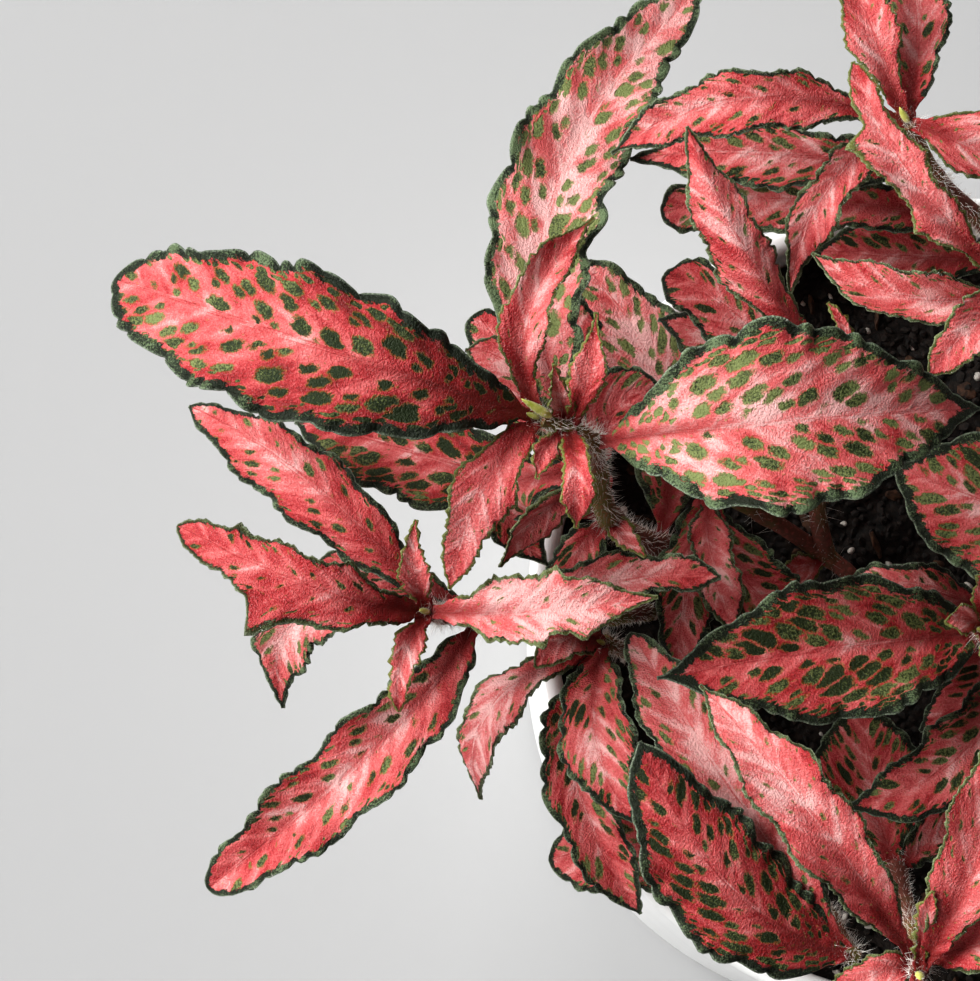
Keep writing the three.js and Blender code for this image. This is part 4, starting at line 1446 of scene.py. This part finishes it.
def hair_builder() -> Builder:
    """The tree that plants fine straight hairs on a hairy surface.

    Returns:
        The builder, with the inputs Kind, Density, Length, Thickness, Lean, Seed and Material.
    """
    builder = Builder(
        "hairs",
        Kind=Input.VECTOR,
        Density=Input.NUMBER,
        Length=Input.NUMBER,
        Thickness=Input.NUMBER,
        Lean=Input.NUMBER,
        Seed=Input.COUNT,
    )
    graph = builder.graph
    down = graph.node("GeometryNodeInputNamedAttribute", {"data_type": "FLOAT_VECTOR"}, {"Name": "down"})
    sockets = {0: down, 1: builder.given("Kind")}
    hairy = graph.node("ShaderNodeVectorMath", {"operation": "DOT_PRODUCT"}, sockets, "Value")
    points = graph.node("GeometryNodeDistributePointsOnFaces", {"distribute_method": "RANDOM"}, {
        "Mesh": builder.given("Mesh"),
        "Density": builder.given("Density") * hairy,
        "Seed": builder.given("Seed"),
    })
    normal = graph.output(points, "Normal")
    stray = graph.node("FunctionNodeRandomValue", {"data_type": "FLOAT_VECTOR"}, {
        0: (-1.0, -1.0, -1.0),
        1: (1.0, 1.0, 1.0),
        "Seed": builder.given("Seed"),
    })
    sockets = {0: stray, "Scale": builder.given("Lean")}
    lean = graph.node("ShaderNodeVectorMath", {"operation": "SCALE"}, sockets)
    heading = graph.node("ShaderNodeVectorMath", {"operation": "ADD"}, {0: normal, 1: lean})
    turn = graph.node("FunctionNodeAlignRotationToVector", {"axis": "Z"}, {"Vector": heading})
    longer = graph.node("FunctionNodeRandomValue", {"data_type": "FLOAT"}, {2: 0.45, 3: 1.15}, 1)
    hair = graph.node("GeometryNodeMeshCone", {"fill_type": "NGON"}, {
        "Vertices": 3,
        "Radius Bottom": builder.given("Thickness"),
        "Radius Top": 0.0,
        "Depth": builder.given("Length"),
    })
    coat = graph.node("GeometryNodeInstanceOnPoints", {}, {
        "Points": points,
        "Instance": hair,
        "Rotation": turn,
        "Scale": graph.vector(1.0, 1.0, longer),
    })
    builder.close(coat)
    return builder


def grain_builder() -> Builder:
    """The tree that scatters rough grains over the soil.

    Returns:
        The builder, with the inputs Density, Gap, Size, Flatness, Detail, Seed and Material.
    """
    builder = Builder(
        "grains",
        Density=Input.NUMBER,
        Gap=Input.NUMBER,
        Size=Input.NUMBER,
        Flatness=Input.NUMBER,
        Detail=Input.COUNT,
        Seed=Input.COUNT,
    )
    graph, seed = builder.graph, builder.given("Seed")
    points = graph.node("GeometryNodeDistributePointsOnFaces", {"distribute_method": "POISSON"}, {
        "Mesh": builder.given("Mesh"),
        "Distance Min": builder.given("Gap"),
        "Density Max": builder.given("Density"),
        "Seed": seed,
    })
    turn = graph.node("FunctionNodeRandomValue", {"data_type": "FLOAT_VECTOR"}, {
        0: (0.0, 0.0, 0.0),
        1: (math.tau, math.tau, math.tau),
        "Seed": seed,
    })
    stretch = graph.node("FunctionNodeRandomValue", {"data_type": "FLOAT_VECTOR"}, {
        0: (0.4, 0.4, 0.4),
        1: (1.5, 1.1, 1.1),
        "Seed": seed + 7,
    })
    x, y, z = graph.split(stretch)
    stretch = graph.vector(x, y, z * builder.given("Flatness"))
    grain = graph.node("GeometryNodeMeshIcoSphere", {}, {
        "Radius": builder.given("Size"),
        "Subdivisions": builder.given("Detail"),
    })
    scattered = graph.node("GeometryNodeInstanceOnPoints", {}, {
        "Points": points,
        "Instance": grain,
        "Rotation": turn,
        "Scale": stretch,
    })
    builder.close(scattered)
    return builder


@dataclass(frozen=True)
class Coat:
    """One kind of hair.

    Kind picks the numbers of the mark down that it follows. Density is how many grow on a square metre.
    Length and thickness are in millimetres.
    """

    name: str
    kind: Place
    density: float
    length: float
    thickness: float
    lean: float
    seed: int


TUFTS = Coat("tufts", (0.0, 1.0, 0.0), 3.6e6, 2.6, 0.03, 0.95, 90)
SILK = Coat("silk", (0.0, 1.0, 0.0), 2.4e6, 1.9, 0.03, 0.8, 130)
DOWN = Coat("down", (1.0, 0.0, 0.0), 4.4e6, 0.9, 0.04, 0.55, 0)
FRINGE = Coat("fringe", (1.0, 0.0, 0.0), 9e6, 0.42, 0.03, 0.7, 50)


@dataclass(frozen=True)
class Finishes:
    """The plant's materials, each made once."""

    top: bpy.types.Material
    under: bpy.types.Material
    stem: bpy.types.Material
    hair: bpy.types.Material
    bud: bpy.types.Material


@dataclass(frozen=True)
class Growth:
    """Builds one leafy stem: its leaves, its stems, its hairs and its buds."""

    shoot: Shoot
    number: int
    finishes: Finishes
    skin: Builder
    hairs: Builder
    foot_up: float = -26.0
    collar_up: float = -9.0
    root_share: float = 0.3
    bud_length: float = 3.0
    side_bud_radius: float = 1.15
    sides: int = 12
    bare_below: float = 8.0

    def stem_points(self, stem: tuple[tuple[float, ...], ...]) -> np.ndarray:
        """A stem's points, with the buried foot below the collar that the list starts with.

        Args:
            stem: The stem's places. A side branch starts with a full place and has no foot.

        Returns:
            One point a row.
        """
        if len(stem[0]) == 3:
            return np.array([place(spot) for spot in stem])
        collar = place((*stem[0], self.collar_up))
        foot = collar + [0, 0, self.foot_up - self.collar_up]
        return np.array([foot, collar, *(place(spot) for spot in stem[1:])])

    def leaves(self) -> bpy.types.Object:
        """Builds the leaves and the buds as one mesh.

        Returns:
            The piece.
        """
        parts = MeshParts()
        stems = [self.stem_points(stem) for stem in self.shoot.stems]
        numbered = np.concatenate(stems)
        for i, leaf in enumerate(self.shoot.leaves):
            node = numbered[leaf.start]
            root = node + unit(place(leaf.middle) - node) * self.root_share * self.shoot.radius
            Blade(leaf, root, 20 * self.number + i).add_to(parts)
        for stem in stems if self.shoot.buds else []:
            Bud(stem[-1], stem[-1] + unit(stem[-1] - stem[-2]) * self.bud_length).add_to(parts)
        if self.shoot.side_bud:
            root, tip = (place(spot) for spot in self.shoot.side_bud)
            Bud(root, tip, self.side_bud_radius).add_to(parts)
        materials = [self.finishes.top, self.finishes.under, self.finishes.bud]
        return parts.piece(f"{self.shoot.name}.leaves", materials)

    def stems(self) -> bpy.types.Object:
        """Builds the stems with a round skin.

        Returns:
            The piece.
        """
        points, radii, edges, count = [], [], [], 0
        for stem in self.shoot.stems:
            line, radius = StemLine(self.stem_points(stem), self.shoot.radius).polyline()
            points.append(line)
            radii.append(radius)
            steps = np.arange(len(line) - 1) + count
            edges.append(np.stack([steps, steps + 1], axis=1))
            count += len(line)
        mesh = bpy.data.meshes.new("stem line")
        mesh.from_pydata(np.concatenate(points) * MM, np.concatenate(edges).tolist(), [])
        girth = mesh.attributes.new("girth", "FLOAT", "POINT")
        girth.data.foreach_set("value", (np.concatenate(radii) * MM).astype(np.float32))
        source = new_object("stem line", mesh)
        values = {"Sides": self.sides, "Material": self.finishes.stem}
        made = self.skin.run(source, f"{self.shoot.name}.stem", values)
        bpy.data.objects.remove(source)
        self.mark_down(made)
        return made

    def mark_down(self, stem: bpy.types.Object) -> None:
        """Stores how hairy the stem is: sparse low down and dense at the tips.

        Args:
            stem: The stem's object.
        """
        count = len(stem.data.vertices)
        points = np.zeros(3 * count)
        stem.data.vertices.foreach_get("co", points)
        points = points.reshape(-1, 3) / MM
        bare = points[:, 2] < RIM_LEVEL - self.bare_below
        hairy, tuft = np.full(count, 0.45), np.zeros(count)
        for places in self.shoot.stems:
            for spot in places[-3:]:
                if len(spot) == 3:
                    away = np.linalg.norm(points - place(spot), axis=1)
                    hairy = np.maximum(hairy, ease(away, 7.0, 2.0))
                    tuft = np.maximum(tuft, ease(away, 4.5, 1.5))
        down = np.stack([hairy, tuft, 0 * tuft], axis=1) * ~bare[:, None]
        layer = stem.data.attributes.new("down", "FLOAT_VECTOR", "POINT")
        layer.data.foreach_set("vector", down.astype(np.float32).ravel())

    def grow(
        self,
        coat: Coat,
        skin: bpy.types.Object,
        share: float = 1.0,
        longer: float = 1.0,
    ) -> bpy.types.Object:
        """Grows hairs on a piece.

        Args:
            coat: The kind of hair.
            skin: The piece that they grow on.
            share: How many of them there are, against the usual.
            longer: How long they are, against the usual.

        Returns:
            The hairs as one piece.
        """
        return self.hairs.run(skin, f"{self.shoot.name}.{coat.name}", {
            "Kind": coat.kind,
            "Density": coat.density * share,
            "Length": coat.length * longer * MM,
            "Thickness": coat.thickness * MM,
            "Lean": coat.lean,
            "Seed": self.number + coat.seed,
            "Material": self.finishes.hair,
        })

    def build(self) -> list[bpy.types.Object]:
        """Builds every piece of the leafy stem.

        Returns:
            The pieces.
        """
        leaves, stems = self.leaves(), self.stems()
        silk = self.shoot.silk
        share = min(silk, 1.0) ** 2
        made = [
            leaves,
            stems,
            self.grow(TUFTS, stems, share),
            self.grow(SILK, leaves),
            self.grow(DOWN, stems, share, silk),
            self.grow(FRINGE, leaves),
        ]
        for piece in made:
            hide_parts(self.shoot.name)
        return made


@dataclass(frozen=True)
class Pot:
    """The round pot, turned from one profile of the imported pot's sizes."""

    height: float
    rim_radius: float
    foot_radius: float = 55.0
    wall: float = 4.0
    floor: float = 6.0
    foot_round: float = 4.2
    corner_round: float = 6.0
    segments: int = 160

    def build(self) -> bpy.types.Object:
        """Builds the pot.

        Returns:
            The pot's object.
        """
        inner = self.rim_radius - self.wall
        lip = self.wall / 2
        profile = np.vstack([
            [[0, 0]],
            arc((self.foot_radius, self.foot_round), self.foot_round, -90, -8, 10),
            arc((self.rim_radius - lip, self.height - lip), lip, 0, 180, 16),
            arc((inner - self.corner_round, self.floor + self.corner_round), self.corner_round, 0, -90, 8),
            [[0, self.floor]],
        ])
        parts = MeshParts()
        parts.add(*turned(profile, self.segments))
        pot = parts.piece("pot.glazed", [GLAZE.material()])
        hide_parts("pot")
        return pot


@dataclass(frozen=True)
class Grains:
    """One kind of loose grain on the soil.

    Density is how many lie on a square metre at most. The gap between two and their size are in metres.
    Detail is how finely each is made.
    """

    name: str
    finish: PlainFinish
    density: float
    gap: float
    size: float
    flatness: float
    detail: int
    seed: int


GRAINS = (
    Grains("soil.crumbs", CRUMB, 9e5, 0.0011, 0.0009, 0.8, 1, 3),
    Grains("soil.bark", BARK, 3e4, 0.004, 0.0019, 0.35, 1, 4),
    Grains("soil.perlite", PERLITE, 4.5e4, 0.0035, 0.00075, 0.9, 2, 5),
)


@dataclass(frozen=True)
class Soil:
    """The soil in the pot and the loose grains on it."""

    radius: float
    top: float
    bottom: float
    bump: float = 0.8
    lump: float = 0.35
    corner_round: float = 6.0
    clear_edge: float = 1.2
    rings: int = 60
    segments: int = 120

    def surface(self, x: np.ndarray, y: np.ndarray) -> np.ndarray:
        """The soil's height, with the packed soil's ripples and finer lumps.

        Args:
            x: The places from left to right.
            y: The places from front to back.

        Returns:
            The height at each place.
        """
        ripple = np.sin(0.31 * x + 1.3) * np.cos(0.27 * y) + 0.6 * np.sin(0.53 * x - 0.61 * y)
        lumps = np.sin(1.9 * x + 0.7 * np.sin(1.3 * y)) * np.sin(2.1 * y + 0.9 * np.sin(1.1 * x))
        return self.top + self.bump * ripple + self.lump * lumps

    def ground(self) -> bpy.types.Object:
        """Builds the body of soil.

        Returns:
            The piece.
        """
        inside = self.radius - self.corner_round
        rings = np.linspace(self.radius, 0, self.rings + 1)
        profile = np.vstack([
            [[0, self.bottom]],
            arc((inside, self.bottom + self.corner_round), self.corner_round, -90, 0, 4),
            np.stack([rings, np.full(len(rings), self.top)], axis=1),
        ])
        points, faces = turned(profile, self.segments)
        upper = points[:, 2] > self.top - 0.01
        points[upper, 2] = self.surface(points[upper, 0], points[upper, 1])
        parts = MeshParts()
        parts.add(points, faces)
        ground = parts.piece("soil.body", [EARTH.material()])
        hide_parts("soil")
        return ground

    def patch(self) -> bpy.types.Object:
        """Builds a flat sheet on the soil's surface, which the grains are scattered over.

        Returns:
            The sheet.
        """
        rings = np.linspace(0.02, 1, 40)[:, None] * (self.radius - self.clear_edge)
        turns = np.linspace(0, math.tau, 80)
        x, y = rings * np.cos(turns), rings * np.sin(turns)
        points = np.stack([x, y, self.surface(x, y)], axis=-1).reshape(-1, 3)
        parts = MeshParts()
        parts.add(points, grid_faces(*x.shape))
        return parts.piece("soil patch", [])

    def build(self, scatter: Builder) -> list[bpy.types.Object]:
        """Builds the soil.

        Args:
            scatter: The tree that scatters grains.

        Returns:
            The body of soil and one piece for each kind of grain.
        """
        patch = self.patch()
        made = [self.ground()]
        for grains in GRAINS:
            made.append(scatter.run(patch, grains.name, {
                "Density": grains.density,
                "Gap": grains.gap,
                "Size": grains.size,
                "Flatness": grains.flatness,
                "Detail": grains.detail,
                "Seed": grains.seed,
                "Material": grains.finish.material(),
            }))
        bpy.data.objects.remove(patch)
        return made


@dataclass(frozen=True)
class Lamp:
    """A square soft lamp: its place and the length of its side in metres, and its power in watts."""

    name: str
    spot: Place
    size: float
    power: float
    aim: Place = (0.0, 0.0, 0.13)

    def hang(self) -> None:
        """Hangs the lamp so that it faces the plant."""
        lamp = bpy.data.lights.new(self.name, "AREA")
        lamp.size = self.size
        lamp.energy = self.power
        made = new_object(self.name, lamp)
        made.location = self.spot
        made.rotation_euler = (Vector(self.aim) - made.location).to_track_quat("-Z", "Y").to_euler()


@dataclass(frozen=True)
class Studio:
    """The pale floor, the soft light and the camera."""

    floor_size: float = 12.0
    sky: float = 0.05
    near: float = 0.01
    lamps: tuple[Lamp, ...] = (
        Lamp("key light", (-2.6, 0.75, 2.1), 2.5, 200.0),
        Lamp("side light", (-0.3, 2.6, 1.9), 1.6, 34.0),
        Lamp("fill light", (-1.2, -2.5, 0.7), 1.6, 13.0),
    )

    def build_floor(self) -> None:
        """Lays the floor."""
        reach = self.floor_size / 2 / MM
        parts = MeshParts()
        corners = np.array([[-reach, -reach, 0], [reach, -reach, 0], [reach, reach, 0], [-reach, reach, 0]])
        parts.add(corners, np.array([[0, 1, 2, 3]]))
        parts.piece("floor", [FLOOR.material()])

    def build_light(self) -> None:
        """Hangs a large low lamp at the left and weaker ones behind and in front, and adds an even sky."""
        for lamp in self.lamps:
            lamp.hang()
        world = bpy.data.worlds.new("room")
        world.use_nodes = True
        shade = world.node_tree.nodes["Background"]
        shade.inputs["Color"].default_value = (1.0, 1.0, 1.0, 1.0)
        shade.inputs["Strength"].default_value = self.sky
        bpy.context.scene.world = world

    def build_camera(self) -> None:
        """Sets the camera at the view point of the plan."""
        lens = bpy.data.cameras.new("camera")
        lens.sensor_fit = "HORIZONTAL"
        lens.sensor_width = SENSOR
        lens.lens = FOCAL_PIXELS / FRAME_PIXELS * SENSOR
        lens.clip_start = self.near
        made = new_object("camera", lens)
        made.location = (VIEW_POINT + [0, 0, RIM_LEVEL]) * MM
        made.rotation_euler = (math.radians(VIEW_TILT), 0, 0)
        bpy.context.scene.camera = made

    def build(self) -> None:
        """Builds the whole studio."""
        self.build_floor()
        self.build_light()
        self.build_camera()
        bpy.context.scene.view_settings.view_transform = "Standard"
        bpy.context.scene.view_settings.look = "Medium High Contrast"


def report(pieces: list[bpy.types.Object]) -> None:
    """Lets pieces ride on the part's one body and logs their sizes.

    Args:
        pieces: The finished pieces.
    """
    for piece in pieces:
        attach(piece, BODY)
        LOG.info("%s: %d faces", piece.name, len(piece.data.polygons))


def main() -> None:
    """Builds the studio, the pot, the soil and the plant, in that order."""
    logging.basicConfig(level=logging.INFO, format="%(name)s: %(message)s")
    Studio().build()
    pot_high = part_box("pot")[1] / MM
    soil_low, soil_high = (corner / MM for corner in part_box("soil"))
    report([Pot(pot_high.z, pot_high.x).build()])
    report(Soil(soil_high.x, pot_high.z - SOIL_DEPTH, soil_low.z).build(grain_builder()))
    finishes = Finishes(
        LeafFinish().material(),
        UndersideFinish().material(),
        StemFinish().material(),
        HAIR.material(),
        BUD.material(),
    )
    skin, hairs = stem_builder(), hair_builder()
    for number, shoot in enumerate(SHOOTS):
        report(Growth(shoot, number, finishes, skin, hairs).build())


if __name__ == "__main__":
    main()
